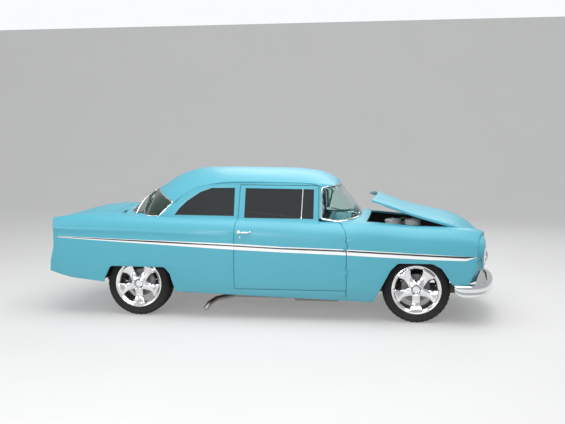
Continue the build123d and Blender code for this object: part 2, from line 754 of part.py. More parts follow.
# Radiator
with BuildPart() as radiator:
    add(block(1830, 1880, -330, 330, 350, 800))
    add(block(1822, 1888, -340, 340, 800, 850))
    add(block(1822, 1888, -430, 430, 342 + seat_gap, 392))
save(radiator, "radiator")

# Nose panel round the grille, and the grille
grille_low_z = 586
grille_high_z = 742
grille_half_width = 600
grille_corner = 70
nose_panel_top_z = 764
nose_reach = hood_nose_half_width + panel_gap - seat_gap


def mouth_form(inset):
    """Opening of the grille as a solid with rounded corners, drawn in by the inset."""
    with BuildPart() as mouth:
        with Locations((2200, 0, (grille_low_z + grille_high_z) / 2)):
            Box(500, 2 * grille_half_width - 2 * inset, grille_high_z - grille_low_z - 2 * inset)
        fillet(mouth.edges().filter_by(Axis.X), grille_corner - inset)
    return mouth.part


with BuildPart() as header:
    add(nose_band(-100, 16, 736, 862))
    add(nose_band(-20, 96, 744, 752))
    add(block(1900, 2400, -600, 600, 400, 1000), mode=Mode.INTERSECT)

with BuildPart() as nose_panel:
    add(nose_band(-4, 28, 560, nose_panel_top_z))
    add(block(1900, 2400, -nose_reach, nose_reach, 400, 1000), mode=Mode.INTERSECT)
    add(mouth_form(0), mode=Mode.SUBTRACT)
    add(header.part)
save(nose_panel, "nose_panel")

bar_width = 5
bar_pitch_y = 50
bar_pitch_z = 26
bars_a_side = 11
with BuildPart() as grille:
    for z in range(grille_low_z + 14, grille_high_z - 4, bar_pitch_z):
        add(nose_band(-8, 14, z, z + bar_width))
    for index in range(-bars_a_side, bars_a_side + 1):
        bar_y = index * bar_pitch_y
        add(block(2020, 2300, bar_y - bar_width / 2, bar_y + bar_width / 2, grille_low_z, grille_high_z))
    add(nose_fill(-10, 400, 1000), mode=Mode.INTERSECT)
    add(mouth_form(seat_gap), mode=Mode.INTERSECT)
    add(nose_band(-8, 16, 400, 1000), mode=Mode.INTERSECT)
save(grille, "grille")

# Front bumper, wrapped round to the wheel arches, with two upright guards
bumper_low_z = 292
bumper_high_z = 424
guard_y = 600
with BuildPart() as guard:
    Box(120, 96, 264)
    fillet(guard.edges().filter_by(Axis.Y), 40)

with BuildPart() as bumper:
    with BuildSketch(Plane.XY.offset(bumper_low_z)):
        with BuildLine():
            ThreePointArc((2236, -760), (2394, 0), (2236, 760))
            ThreePointArc((2236, 760), (2140, 930), (1990, 964))
            Line((1990, 964), (1890, 964))
            Line((1890, 964), (1890, 946))
            Line((1890, 946), (1980, 940))
            ThreePointArc((1980, 940), (2090, 890), (2170, 740))
            ThreePointArc((2170, 740), (2330, 0), (2170, -740))
            ThreePointArc((2170, -740), (2090, -890), (1980, -940))
            Line((1980, -940), (1890, -946))
            Line((1890, -946), (1890, -964))
            Line((1890, -964), (1990, -964))
            ThreePointArc((1990, -964), (2140, -930), (2236, -760))
        make_face()
    extrude(amount=bumper_high_z - bumper_low_z)
    for side in (-1, 1):
        add(guard.part.translate((2200, side * guard_y, 420)))
    for side in (-1, 1):
        add(block(2090 + seat_gap, 2300, side * frame_rail_y - 25, side * frame_rail_y + 25, 300, 336))
save(bumper, "front_bumper")

# Lamps
def turned(y, z, profile):
    """Solid turned about a line along X, from a profile of (x, radius) points."""
    with BuildPart() as solid:
        with BuildSketch(Plane((0, y, z), x_dir=(1, 0, 0), z_dir=(0, 1, 0))):
            with BuildLine():
                Polyline(*profile, close=True)
            make_face()
        revolve(axis=Axis((0, y, z), (1, 0, 0)))
    return solid.part


lamp_socket = headlamp_radius - seat_gap
lamp_face = nacelle_x + seat_gap
headlamp_profile = [
    (2040, 0), (2040, 60), (2090, lamp_socket), (lamp_face, lamp_socket), (lamp_face, headlamp_ring_radius),
    (lamp_face + 16, headlamp_ring_radius - 1), (lamp_face + 26, 88), (lamp_face + 35, 62),
    (lamp_face + 40, 34), (lamp_face + 41, 14), (lamp_face + 41, 0),
]
with BuildPart() as headlamps:
    for side in (-1, 1):
        add(turned(side * headlamp_y, headlamp_z, headlamp_profile))
save(headlamps, "headlamps")

tail_lamp_back = tail_lamp_seat_x - seat_gap
tail_lamp_profile = [
    (tail_lamp_back, 0), (tail_lamp_back, tail_lamp_radius), (-2362, tail_lamp_radius), (-2374, 66),
    (-2387, 42), (-2394, 14), (-2394, 0),
]
with BuildPart() as tail_lamps:
    for side in (-1, 1):
        add(turned(side * tail_lamp_y, tail_lamp_z, tail_lamp_profile))
save(tail_lamps, "tail_lamps")

# Seats, each a bench with its back
cushion_height = 170
cushion_rise = 90
seat_back_thickness = 130


def bench(name, x, depth, width, back_height, lean):
    """Bench seat whose cushion starts at x and runs forward."""
    base_z = floor_z + floor_thickness
    cushion_low_z = base_z + cushion_rise
    tunnel_room = tunnel_half_width + 2
    with BuildPart() as back:
        Box(seat_back_thickness, width, back_height)
        fillet(back.edges().filter_by(Axis.Y), 45)
    raised = back.part.translate((0, 0, back_height / 2 - 40))
    leaned = raised.rotate(Axis.Y, -lean).translate((x + 20, 0, cushion_low_z + 60))
    with BuildPart() as seat:
        with Locations((x + depth / 2, 0, cushion_low_z + cushion_height / 2)):
            Box(depth, width, cushion_height)
        fillet(seat.edges().filter_by(Axis.Y), 50)
        add(block(x + 40, x + depth - 60, 60 - width / 2, width / 2 - 60, base_z, cushion_low_z + 20))
        add(leaned)
        add(block(x - 400, x + depth + 100, -tunnel_room, tunnel_room, 200, tunnel_top_z + 2),
            mode=Mode.SUBTRACT)
    save(seat, name)


bench("front_seat", -150, 520, 1260, 540, 14)
bench("rear_seat", -860, 460, 1240, 520, 16)

# Dashboard and steering wheel
with BuildPart() as dashboard:
    dash_back_x = front_wall_x - seat_gap
    add(side_prism([(dash_back_x, 800), (dash_back_x, 1010), (640, 1018), (572, 985), (590, 930), (640, 800)],
                   -700, 700))
save(dashboard, "dashboard")

wheel_centre = (392, 380, 905)
column_tilt = 28
steering_plane = Plane(origin=wheel_centre, x_dir=(0, 1, 0),
                       z_dir=(-cos(radians(column_tilt)), 0, sin(radians(column_tilt))))
column_end = 330
with BuildPart() as steering_wheel:
    with BuildSketch(Plane(origin=wheel_centre, x_dir=steering_plane.x_dir, z_dir=steering_plane.y_dir)):
        with Locations((205, 0)):
            Circle(13)
    revolve(axis=Axis(wheel_centre, steering_plane.z_dir))
    with Locations(steering_plane):
        Cylinder(38, 50)
        for angle in (0, 120, 240):
            with Locations(Location((0, 0, 0), (0, 0, angle))):
                with Locations((104, 0, 0)):
                    Box(200, 22, 9)
        with Locations((0, 0, -column_end / 2)):
            Cylinder(22, column_end)
    add(dashboard.part, mode=Mode.SUBTRACT)
save(steering_wheel, "steering_wheel")

# Rear axle with leaf springs, and the drive shaft
spring_y = frame_rail_y + 92
spring_half_width = 30
leaf_line = [
    (-1960, 400), (-1960, 412), (-1600, 330), (-1250, 330),
    (-1000, 352), (-1000, 340), (-1250, 300), (-1600, 300),
]
shackle_inner_y = rail_outer_y + seat_gap
shackle_outer_y = spring_y + spring_half_width + 4
with BuildPart() as rear_axle:
    with Locations(Plane((rear_axle_x, 0, wheel_z), z_dir=(0, 1, 0))):
        Cylinder(axle_tube_radius, 1230)
        Cylinder(hub_bore_radius - seat_gap, 2 * wheel_track_y + 40)
    with Locations(Plane((rear_axle_x, 0, wheel_z), z_dir=(1, 0, 0))):
        Cylinder(148, 110)
    with Locations(Plane((rear_axle_x + 100, 0, wheel_z), z_dir=(1, 0, 0))):
        Cone(bottom_radius=118, top_radius=62, height=98)
    with Locations(Plane((rear_axle_x - 80, 0, wheel_z), z_dir=(1, 0, 0))):
        Cone(bottom_radius=92, top_radius=140, height=56)
    for side in (-1, 1):
        shackle_y = sorted((side * shackle_inner_y, side * shackle_outer_y))
        add(side_prism(leaf_line, side * spring_y - spring_half_width, side * spring_y + spring_half_width))
        add(block(-1025, -985, *shackle_y, 200, 352))
        add(block(-1990, -1950, *shackle_y, 392, 440))
save(rear_axle, "rear_axle")

shaft_front_x = 420
shaft_rear_x = rear_axle_x + 150
with BuildPart() as drive_shaft:
    with Locations(Plane(((shaft_front_x + shaft_rear_x) / 2, 0, wheel_z), z_dir=(1, 0, 0))):
        Cylinder(36, shaft_front_x - shaft_rear_x - 2 * seat_gap)
save(drive_shaft, "drive_shaft")

# Front suspension: two arms a side, a spring between them, and the tie rod
lower_joint_z = 232
upper_joint_z = 470
lower_arm_thickness = 26
upper_arm_thickness = 20
arms = (
    (lower_joint_z, rail_inner_y, lower_arm_thickness),
    (upper_joint_z, frame_rail_y + 12, upper_arm_thickness),
)


def wishbone(side, z, inner_y, thickness):
    """Flat arm from its two pivots at the frame out to the kingpin."""
    outer_y = kingpin_y + 14
    with BuildPart() as arm:
        with BuildSketch(Plane.XY.offset(z - thickness / 2)):
            with BuildLine():
                Polyline((front_axle_x - 150, side * inner_y), (front_axle_x + 150, side * inner_y),
                         (front_axle_x + 26, side * outer_y), (front_axle_x - 26, side * outer_y), close=True)
            make_face()
        extrude(amount=thickness)
    return arm.part


with BuildPart() as front_suspension:
    for side in (-1, 1):
        for arm in arms:
            add(wishbone(side, *arm))
        bracket_y = sorted((side * rail_inner_y, side * 432))
        add(block(front_axle_x - 80, front_axle_x + 80, *bracket_y, 240, 482))
        with Locations((front_axle_x, side * 520, (lower_joint_z + upper_joint_z) / 2)):
            Cylinder(48, upper_joint_z - lower_joint_z)
    add(frame.part, mode=Mode.SUBTRACT)
save(front_suspension, "front_suspension")

# Knuckles that carry the front wheels
with BuildPart() as knuckle:
    post_low = lower_joint_z + lower_arm_thickness / 2 + seat_gap
    post_high = upper_joint_z - upper_arm_thickness / 2 - seat_gap
    with Locations((front_axle_x, -kingpin_y, (post_low + post_high) / 2)):
        Cylinder(20, post_high - post_low)
    with Locations(Plane((front_axle_x, -(kingpin_y + wheel_track_y + 20) / 2, wheel_z), z_dir=(0, 1, 0))):
        Cylinder(hub_bore_radius - seat_gap, wheel_track_y + 20 - kingpin_y)
    with Locations(Plane((front_axle_x, -kingpin_y - 22, wheel_z), z_dir=(0, 1, 0))):
        Cylinder(58, 16)
save_pair(knuckle, "knuckle")

# Exhaust pipes with their turned-down tips ahead of the rear wheels
pipe_y = 300
pipe_radius = 27
silencer_radius = 52
silencer_length = 480


def exhaust_pipe(side):
    """Pipe of one side with its manifold, silencer and hangers."""
    y = side * pipe_y
    manifold_y = sorted((side * 230, side * 320))
    with BuildPart() as pipe:
        with BuildLine() as route:
            FilletPolyline((1180, y, 600), (1040, y, 150), (800, y, 140), (-480, y, 140),
                           (-640, side * 560, 142), (-660, side * 800, 145), (-690, side * 850, 92), radius=46)
        with BuildSketch(Plane(origin=route.line @ 0, z_dir=route.line % 0)):
            Circle(pipe_radius)
        sweep()
        with Locations(Plane((450, y, 140), z_dir=(1, 0, 0))):
            Cylinder(silencer_radius, silencer_length)
        add(block(1100, 1600, *manifold_y, 590, 640))
        add(engine.part, mode=Mode.SUBTRACT)
        for x in (-150, 830):
            add(block(x - 10, x + 10, y - 8, y + 8, 150, 182 - seat_gap))
    return pipe.part.solids().sort_by(SortBy.VOLUME)[-1]


with BuildPart() as exhaust:
    for side in (-1, 1):
        add(exhaust_pipe(side))
save(exhaust, "exhaust")

# Fuel tank under the boot floor
with BuildPart() as fuel_tank:
    with Locations((-1835, 0, boot_floor_z - 100 - seat_gap)):
        Box(360, 720, 200)
    fillet(fuel_tank.edges().filter_by(Axis.Y), 40)
save(fuel_tank, "fuel_tank")

# Wheels and tyres
axles = (("front", front_axle_x), ("rear", rear_axle_x))
wheel_places = [(end, x, name, side) for end, x in axles for name, side in sides]
bead = tyre_bead_radius - seat_gap
lip = rim_width / 2
rim_edge = rim_lip_radius - 4
with BuildPart() as spoke_arm:
    with BuildSketch(Plane.XY):
        with BuildLine():
            Polyline((60, -26), (150, -20), (bead - 14, -34), (bead - 14, 34), (150, 20), (60, 26), close=True)
        make_face()
    extrude(amount=30)

for end, x, name, side in wheel_places:
    centre = (x, side * wheel_track_y, wheel_z)
    spin = Axis(centre, (0, 1, 0))
    profile_plane = Plane(origin=centre, x_dir=(0, side, 0), z_dir=(-side, 0, 0))
    hub_face = Plane(origin=centre, x_dir=(1, 0, 0), z_dir=(0, side, 0))
    with BuildPart() as tyre:
        with BuildSketch(profile_plane):
            half = tyre_width / 2
            with BuildLine():
                flange = rim_width / 2 - 9 - seat_gap
                Line((flange, tyre_bead_radius), (flange, 248))
                Line((flange, 248), (half - 2, 262))
                ThreePointArc((half - 2, 262), (half, 300), (half - 20, 334))
                ThreePointArc((half - 20, 334), (0, tyre_radius), (20 - half, 334))
                ThreePointArc((20 - half, 334), (-half, 300), (2 - half, 262))
                Line((2 - half, 262), (-flange, 248))
                Line((-flange, 248), (-flange, tyre_bead_radius))
                Line((-flange, tyre_bead_radius), (flange, tyre_bead_radius))
            make_face()
        revolve(axis=spin)
    save(tyre, f"tyre_{end}_{name}")
    with BuildPart() as wheel:
        with BuildSketch(profile_plane):
            with BuildLine():
                Polyline((lip, rim_edge - 10), (lip, rim_edge), (lip - 9, rim_edge), (lip - 9, bead),
                         (9 - lip, bead), (9 - lip, rim_edge), (-lip, rim_edge),
                         (-lip, bead - 12), (lip - 20, bead - 22), close=True)
            make_face()
            with BuildLine():
                Polyline((lip - 26, hub_bore_radius + 1), (lip - 26, 78), (lip - 46, 84), (lip - 62, 78),
                         (lip - 140, 66), (lip - 140, hub_bore_radius + 1), close=True)
            make_face()
        revolve(axis=spin)
        for spoke in range(spoke_count):
            turn = Location((0, 0, lip - 66), (0, 0, 90 * side + spoke * 360 / spoke_count))
            add(hub_face.location * turn * spoke_arm.part)
        with Locations(Plane(origin=centre, z_dir=(0, side, 0))):
            with Locations((0, 0, lip - 30)):
                Cylinder(34, 26)
            Cylinder(hub_bore_radius, 2 * (lip - 46), mode=Mode.SUBTRACT)
    save(wheel, f"wheel_{end}_{name}")
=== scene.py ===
import json
from math import atan2, cos, pi, radians, sin, sqrt

import bpy
from mathutils import Matrix, Vector
from mathutils.bvhtree import BVHTree


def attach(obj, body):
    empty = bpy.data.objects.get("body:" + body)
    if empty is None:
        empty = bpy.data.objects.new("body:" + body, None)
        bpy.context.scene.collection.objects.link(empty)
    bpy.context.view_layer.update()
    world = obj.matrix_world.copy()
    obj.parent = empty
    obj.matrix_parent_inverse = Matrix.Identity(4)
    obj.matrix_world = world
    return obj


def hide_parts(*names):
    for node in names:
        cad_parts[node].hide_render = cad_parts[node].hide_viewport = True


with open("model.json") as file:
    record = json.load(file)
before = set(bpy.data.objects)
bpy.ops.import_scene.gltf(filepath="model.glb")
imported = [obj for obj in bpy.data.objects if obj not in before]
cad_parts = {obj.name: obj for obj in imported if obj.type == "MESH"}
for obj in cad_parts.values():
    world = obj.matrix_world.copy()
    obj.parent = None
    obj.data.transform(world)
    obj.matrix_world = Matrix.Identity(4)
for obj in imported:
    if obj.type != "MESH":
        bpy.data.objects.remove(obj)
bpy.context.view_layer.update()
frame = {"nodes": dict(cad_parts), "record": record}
nodes = frame["nodes"]
bodyOf = {node: body for body, members in frame["record"]["behaviour"]["bodies"].items() for node in members}
sides = (("left", 1), ("right", -1))
slotOf = {}  # name of a finish to the record's slot listed for it, unless a piece names another
tip = 0.0005  # smallest radius of a turned piece, at its pole
print("frame loaded:", len(nodes), "nodes")


# Small tools that every piece uses

def deselect():
    if bpy.context.object and bpy.context.object.mode != "OBJECT":
        bpy.ops.object.mode_set(mode="OBJECT")
    bpy.ops.object.select_all(action="DESELECT")


def activate(obj):
    deselect()
    obj.select_set(True)
    bpy.context.view_layer.objects.active = obj


def startEdit(obj, action="SELECT"):  # edit mode with all or nothing selected
    activate(obj)
    bpy.ops.object.mode_set(mode="EDIT")
    bpy.ops.mesh.select_all(action=action)


def endEdit():
    bpy.ops.object.mode_set(mode="OBJECT")


def newest(name):
    obj = bpy.context.object
    obj.name = name
    return obj


def settle(obj):  # the object back to the origin, its place kept in the mesh
    activate(obj)
    bpy.ops.object.transform_apply(location=True, rotation=True, scale=True)
    return obj


def shift(obj, *move):
    obj.data.transform(Matrix.Translation(move))
    return obj


def useModifier(obj, kind, **values):
    activate(obj)
    modifier = obj.modifiers.new(kind.title(), kind)
    for key, value in values.items():
        setattr(modifier, key, value)
    bpy.ops.object.modifier_apply(modifier=modifier.name)
    return obj


def thicken(obj, thickness, offset=-1):
    return useModifier(obj, "SOLIDIFY", thickness=thickness, offset=offset)


def smoothBy(obj, angle):  # smooth shading, edges sharper than the angle kept
    activate(obj)
    bpy.ops.object.shade_smooth_by_angle(angle=radians(angle))
    return obj


def smoothAll(obj):
    activate(obj)
    bpy.ops.object.shade_smooth()
    return obj


def softenEdges(obj, width=0.002, segments=2, angle=32, smooth=38):
    if width:
        useModifier(obj, "BEVEL", width=width, segments=segments, limit_method="ANGLE",
                    angle_limit=radians(angle), use_clamp_overlap=True)
    return smoothBy(obj, smooth)


def mendNormals(obj):
    startEdit(obj)
    bpy.ops.mesh.remove_doubles(threshold=0.00002)
    bpy.ops.mesh.normals_make_consistent(inside=False)
    endEdit()
    return obj


def joinPieces(name, pieces):
    activate(pieces[0])
    for piece in pieces[1:]:
        piece.select_set(True)
    if len(pieces) > 1:
        bpy.ops.object.join()
    pieces[0].name = name
    return settle(pieces[0])


def duplicate(obj, name):
    twin = obj.copy()
    twin.data = obj.data.copy()
    twin.name = name
    for key in list(twin.keys()):
        del twin[key]
    bpy.context.scene.collection.objects.link(twin)
    twin.hide_render = twin.hide_viewport = False
    twin.hide_set(False)
    twin.parent = None
    return twin


def finishPiece(obj, material, body="car", slot=None, stands=()):
    obj.data.materials.clear()
    obj.data.materials.append(material)
    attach(obj, body)
    slot or slotOf[material.name]
    if stands:
        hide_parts(*stands)
    return obj


def finishGroup(name, pieces, material, body="car", slot=None, soft=None):  # joined, then finished
    whole = joinPieces(name, pieces)
    if soft is not None:
        softenEdges(whole, soft)
    return finishPiece(whole, material, body, slot)


def blockPiece(name, low, high, bevel=0.004, segments=3):  # block between two corners
    deselect()
    middle = [(a + b) / 2 for a, b in zip(low, high)]
    size = [b - a for a, b in zip(low, high)]
    bpy.ops.mesh.primitive_cube_add(size=1, location=middle, scale=size)
    obj = settle(newest(name))
    return softenEdges(obj, bevel, segments) if bevel else obj


# (radius, along) points, turned about Z by extruding and scaling a ring
def turnedPiece(name, profile, steps=48):
    deselect()
    bpy.ops.mesh.primitive_circle_add(vertices=steps, radius=max(profile[0][0], tip),
                                      location=(0, 0, profile[0][1]), fill_type="NOTHING")
    obj = settle(newest(name))
    startEdit(obj)
    before = profile[0]
    for radius, along in profile[1:]:
        bpy.ops.mesh.extrude_region_move(TRANSFORM_OT_translate={"value": (0, 0, along - before[1])})
        ratio = max(radius, tip) / max(before[0], tip)
        bpy.ops.transform.resize(value=(ratio, ratio, 1), center_override=(0, 0, along))
        before = (radius, along)
    bpy.ops.mesh.select_all(action="SELECT")
    bpy.ops.mesh.remove_doubles(threshold=0.00002)
    bpy.ops.mesh.select_all(action="DESELECT")
    bpy.ops.mesh.select_non_manifold()
    bpy.ops.mesh.fill_holes(sides=0)
    bpy.ops.mesh.select_all(action="SELECT")
    bpy.ops.mesh.normals_make_consistent(inside=False)
    endEdit()
    return obj


def placeAlong(obj, place, direction):  # Z of the piece turned to a direction, then moved
    turn = Vector((0, 0, 1)).rotation_difference(Vector(direction)).to_matrix().to_4x4()
    obj.data.transform(Matrix.Translation(Vector(place)) @ turn)
    return obj


def gridPiece(name, across, along, shape):  # a grid whose points are moved by a function of (u, v)
    deselect()
    bpy.ops.mesh.primitive_grid_add(x_subdivisions=across, y_subdivisions=along, size=1)
    obj = newest(name)
    for vertex in obj.data.vertices:
        vertex.co = shape(vertex.co.x + 0.5, vertex.co.y + 0.5)
    obj.data.update()
    return obj


def tubePiece(name, points, radius, sides=6, cyclic=False, smooth=True):  # a bent rod or hose
    deselect()
    curve = bpy.data.curves.new(name, "CURVE")
    curve.dimensions = "3D"
    curve.bevel_depth = radius
    curve.bevel_resolution = max(1, sides // 2 - 1)
    curve.use_fill_caps = not cyclic
    spline = curve.splines.new("NURBS" if smooth else "POLY")
    spline.points.add(len(points) - 1)
    for target, point in zip(spline.points, points):
        target.co = (*point, 1)
    if smooth:
        spline.order_u = 3
        spline.use_endpoint_u = not cyclic
        spline.resolution_u = 5
    spline.use_cyclic_u = cyclic
    obj = bpy.data.objects.new(name, curve)
    bpy.context.scene.collection.objects.link(obj)
    activate(obj)
    bpy.ops.object.convert(target="MESH")
    obj = newest(name)
    bpy.ops.object.shade_smooth()
    return obj


def treeOf(node):  # surface of a CAD node, for laying trim on
    mesh = nodes[node].data
    return BVHTree.FromPolygons([v.co.copy() for v in mesh.vertices],
                                [list(p.vertices) for p in mesh.polygons])


def sideHit(tree, x, z, side, fallback):  # outer surface seen from one side of the car
    hit = tree.ray_cast(Vector((x, side * 2.0, z)), Vector((0, -side, 0)))
    return hit[0].y if hit[0] is not None else fallback


def atX(table, x):  # value between the rows of a short table
    rows = sorted(table)
    if x <= rows[0][0]:
        return rows[0][1]
    for a, b in zip(rows, rows[1:]):
        if x <= b[0]:
            return a[1] + (b[1] - a[1]) * ((x - a[0]) / (b[0] - a[0]))
    return rows[-1][1]


# Node groups and materials

def addNode(tree, kind, inputs, **settings):  # inputs are values, or outputs of other nodes to link
    node = tree.nodes.new("ShaderNode" + kind)
    for key, value in settings.items():
        setattr(node, key, value)
    for label, value in inputs.items():
        if isinstance(value, bpy.types.NodeSocket):
            tree.links.new(value, node.inputs[label])
        else:
            node.inputs[label].default_value = value
    return node


def newGroup(name, inputs, outputs):
    group = bpy.data.node_groups.new(name, "ShaderNodeTree")
    for label, value in inputs.items():
        kind = "NodeSocketFloat" if isinstance(value, float) else "NodeSocketColor"
        group.interface.new_socket(label, in_out="INPUT", socket_type=kind).default_value = value
    for label, kind in outputs.items():
        group.interface.new_socket(label, in_out="OUTPUT", socket_type="NodeSocket" + kind)
    start = group.nodes.new("NodeGroupInput").outputs
    end = group.nodes.new("NodeGroupOutput").inputs
    place = addNode(group, "TexCoord", {}).outputs["Object"]
    return group, start, end, place


def driftGroup():  # slow change of a colour over the surface, and of its gloss
    group, start, end, place = newGroup(
        "colourDrift", {"Colour": (0.5, 0.5, 0.5, 1), "Other": (0.4, 0.4, 0.4, 1), "Amount": 0.2,
                        "Scale": 3.0,
                        "Gloss": 0.4, "Spread": 0.1}, {"Colour": "Color", "Roughness": "Float",
                                                       "Mask": "Float"})
    noise = addNode(group, "TexNoise",
                    {"Detail": 6, "Roughness": 0.62, "Vector": place, "Scale": start["Scale"]})
    patches = addNode(group, "MapRange", {"From Min": 0.35, "From Max": 0.7, "Value": noise.outputs["Fac"]})
    mask = patches.outputs["Result"]
    weight = addNode(group, "Math", {0: mask, 1: start["Amount"]}, operation="MULTIPLY")
    blend = addNode(group, "Mix", {"Factor": weight.outputs[0], "A": start["Colour"], "B": start["Other"]},
                    data_type="RGBA")
    gloss = addNode(group, "Math", {0: mask, 1: start["Spread"], 2: start["Gloss"]}, operation="MULTIPLY_ADD")
    for output, label in ((blend.outputs["Result"], "Colour"), (gloss.outputs[0], "Roughness"),
                          (mask, "Mask")):
        group.links.new(output, end[label])
    return group


def grainGroup():  # fine height of a moulded, cast or sprayed surface
    group, start, end, place = newGroup("fineGrain", {"Scale": 300.0, "Depth": 0.1, "Cells": 0.0},
                                        {"Normal": "Vector"})
    noise = addNode(group, "TexNoise", {"Detail": 4, "Vector": place, "Scale": start["Scale"]})
    cells = addNode(group, "TexVoronoi", {"Vector": place, "Scale": start["Scale"]})
    mix = addNode(group, "Mix", {"Factor": start["Cells"], "A": noise.outputs["Fac"],
                                 "B": cells.outputs["Distance"]})
    bump = addNode(group, "Bump", {"Distance": 0.0006, "Height": mix.outputs["Result"],
                                   "Strength": start["Depth"]})
    group.links.new(bump.outputs["Normal"], end["Normal"])
    return group


def dustGroup():  # road dust that gathers low down on the car
    group, start, end, place = newGroup(
        "roadDust", {"Colour": (0.5, 0.5, 0.5, 1), "Dust": (0.42, 0.37, 0.3, 1), "Height": 0.35,
                     "Amount": 0.2},
        {"Colour": "Color", "Mask": "Float"})
    split = addNode(group, "SeparateXYZ", {0: place})
    noise = addNode(group, "TexNoise", {"Scale": 14, "Detail": 8, "Vector": place})
    low = addNode(group, "MapRange", {"From Max": 0.05, "To Min": 0, "To Max": 1, "Value": split.outputs["Z"],
                                      "From Min": start["Height"]})
    spots = addNode(group, "Math", {0: low.outputs["Result"], 1: noise.outputs["Fac"]}, operation="MULTIPLY")
    mask = addNode(group, "Math", {0: spots.outputs[0], 1: start["Amount"]}, operation="MULTIPLY").outputs[0]
    blend = addNode(group, "Mix", {"Factor": mask, "A": start["Colour"], "B": start["Dust"]},
                    data_type="RGBA")
    group.links.new(blend.outputs["Result"], end["Colour"])
    group.links.new(mask, end["Mask"])
    return group


colourDrift = driftGroup()
fineGrain = grainGroup()
roadDust = dustGroup()


def makeFinish(name, slot, colour, other, amount, scale, gloss, spread, grain=None, dust=0, dustHeight=0.5,
               **sockets):  # grain: scale, depth and share of cells
    material = bpy.data.materials.new(name)
    material.use_nodes = True
    slotOf[material.name] = slot
    tree = material.node_tree
    shader = tree.nodes["Principled BSDF"]
    drift = addNode(tree, "Group", {"Colour": (*colour, 1), "Other": (*other, 1), "Amount": amount,
                                    "Scale": scale,
                                    "Gloss": gloss, "Spread": spread}, node_tree=colourDrift)
    tree.links.new(drift.outputs["Roughness"], shader.inputs["Roughness"])
    source = drift.outputs["Colour"]
    if dust:
        dirt = addNode(tree, "Group", {"Amount": dust, "Height": dustHeight, "Colour": source},
                       node_tree=roadDust)
        source = dirt.outputs["Colour"]
    tree.links.new(source, shader.inputs["Base Color"])
    if grain:
        height = addNode(tree, "Group", dict(zip(("Scale", "Depth", "Cells"), grain)), node_tree=fineGrain)
        tree.links.new(height.outputs["Normal"], shader.inputs["Normal"])
    for label, value in sockets.items():
        shader.inputs[label.replace("_", " ")].default_value = value
    return material


turquoise = (0.080, 0.350, 0.440)
bodyPaint = makeFinish("turquoisePaint", "body_paint", turquoise, (0.072, 0.325, 0.41), 0.5, 1.6, 0.40,
                       0.07, (900, 0.02), dust=0.2, dustHeight=0.45, Coat_Weight=0.12, Coat_Roughness=0.16,
                       Specular_IOR_Level=0.32)
innerPaint = makeFinish("turquoiseInner", "body_paint", (0.11, 0.38, 0.48), (0.07, 0.25, 0.32), 0.6, 6,
                        0.42, 0.1, (500, 0.06))
chrome = makeFinish("chromePlate", "polished_metal", (0.86, 0.87, 0.88), (0.76, 0.78, 0.8), 0.4, 9, 0.07,
                    0.07, (60, 0.02), Metallic=1.0)
alloy = makeFinish("polishedAlloy", "polished_metal", (0.9, 0.9, 0.91), (0.8, 0.8, 0.82), 0.4, 12, 0.16,
                   0.1, (240, 0.04), dust=0.15, dustHeight=0.3, Metallic=1.0)
castMetal = makeFinish("castMetal", "cast_parts", (0.3, 0.3, 0.31), (0.16, 0.15, 0.14), 0.6, 16, 0.5, 0.15,
                       (420, 0.35), Metallic=0.7)
blockPaint = makeFinish("engineBlack", "cast_parts", (0.035, 0.036, 0.04), (0.09, 0.08, 0.07), 0.5, 14,
                        0.42, 0.15, (300, 0.3))
chassisBlack = makeFinish("chassisBlack", "under_paint", (0.024, 0.024, 0.025), (0.09, 0.07, 0.055), 0.55,
                          7, 0.5, 0.2, (180, 0.25), dust=0.5, dustHeight=0.6)
ironBare = makeFinish("forgedIron", "cast_parts", (0.16, 0.15, 0.145), (0.2, 0.1, 0.06), 0.5, 22, 0.5, 0.2,
                      (260, 0.3), Metallic=0.8)
exhaustSteel = makeFinish("exhaustSteel", "polished_metal", (0.55, 0.54, 0.52), (0.36, 0.3, 0.24), 0.6, 9,
                          0.3, 0.2, (160, 0.1), Metallic=1.0)
rubber = makeFinish("sealRubber", "seal_rubber", (0.018, 0.018, 0.019), (0.045, 0.044, 0.042), 0.5, 18, 0.6,
                    0.15, (500, 0.2))
tyreRubber = makeFinish("tyreRubber", "tyre_rubber", (0.012, 0.012, 0.013), (0.03, 0.029, 0.028), 0.5, 9,
                        0.8, 0.15, (420, 0.25), dust=0.05, dustHeight=0.3, Specular_IOR_Level=0.25)
stripeWhite = makeFinish("stripeWhite", "stripe_paint", (0.8, 0.81, 0.8), (0.7, 0.71, 0.7), 0.5, 5, 0.26,
                         0.08, (700, 0.03), Coat_Weight=0.5, Coat_Roughness=0.06)
stripeBlack = makeFinish("stripeBlack", "stripe_paint", (0.012, 0.012, 0.014), (0.03, 0.03, 0.03), 0.4, 5,
                         0.26, 0.08, (700, 0.03), Coat_Weight=0.5, Coat_Roughness=0.06)
darkGlass = makeFinish("tintedGlass", "tinted_glass", (0.016, 0.018, 0.019), (0.03, 0.034, 0.035), 0.4, 2.2,
                       0.03, 0.02, None, Coat_Weight=0.6, Coat_Roughness=0.02, Alpha=0.93)
rearGlass = makeFinish("greenTintGlass", "tinted_glass", (0.01, 0.03, 0.02), (0.02, 0.06, 0.045), 0.6, 3.4,
                       0.04, 0.03, None, Coat_Weight=0.6, Coat_Roughness=0.02, Alpha=0.86)
clearGlass = makeFinish("clearGlass", "clear_glass", (0.8, 0.93, 0.9), (0.72, 0.88, 0.86), 0.3, 2, 0.02,
                        0.01, None, Transmission_Weight=1.0, IOR=1.2)
lampGlass = makeFinish("lampGlass", "lamp_glass", (0.93, 0.95, 0.96), (0.86, 0.9, 0.92), 0.3, 4, 0.03, 0.02,
                       None, Transmission_Weight=0.92, IOR=1.35)
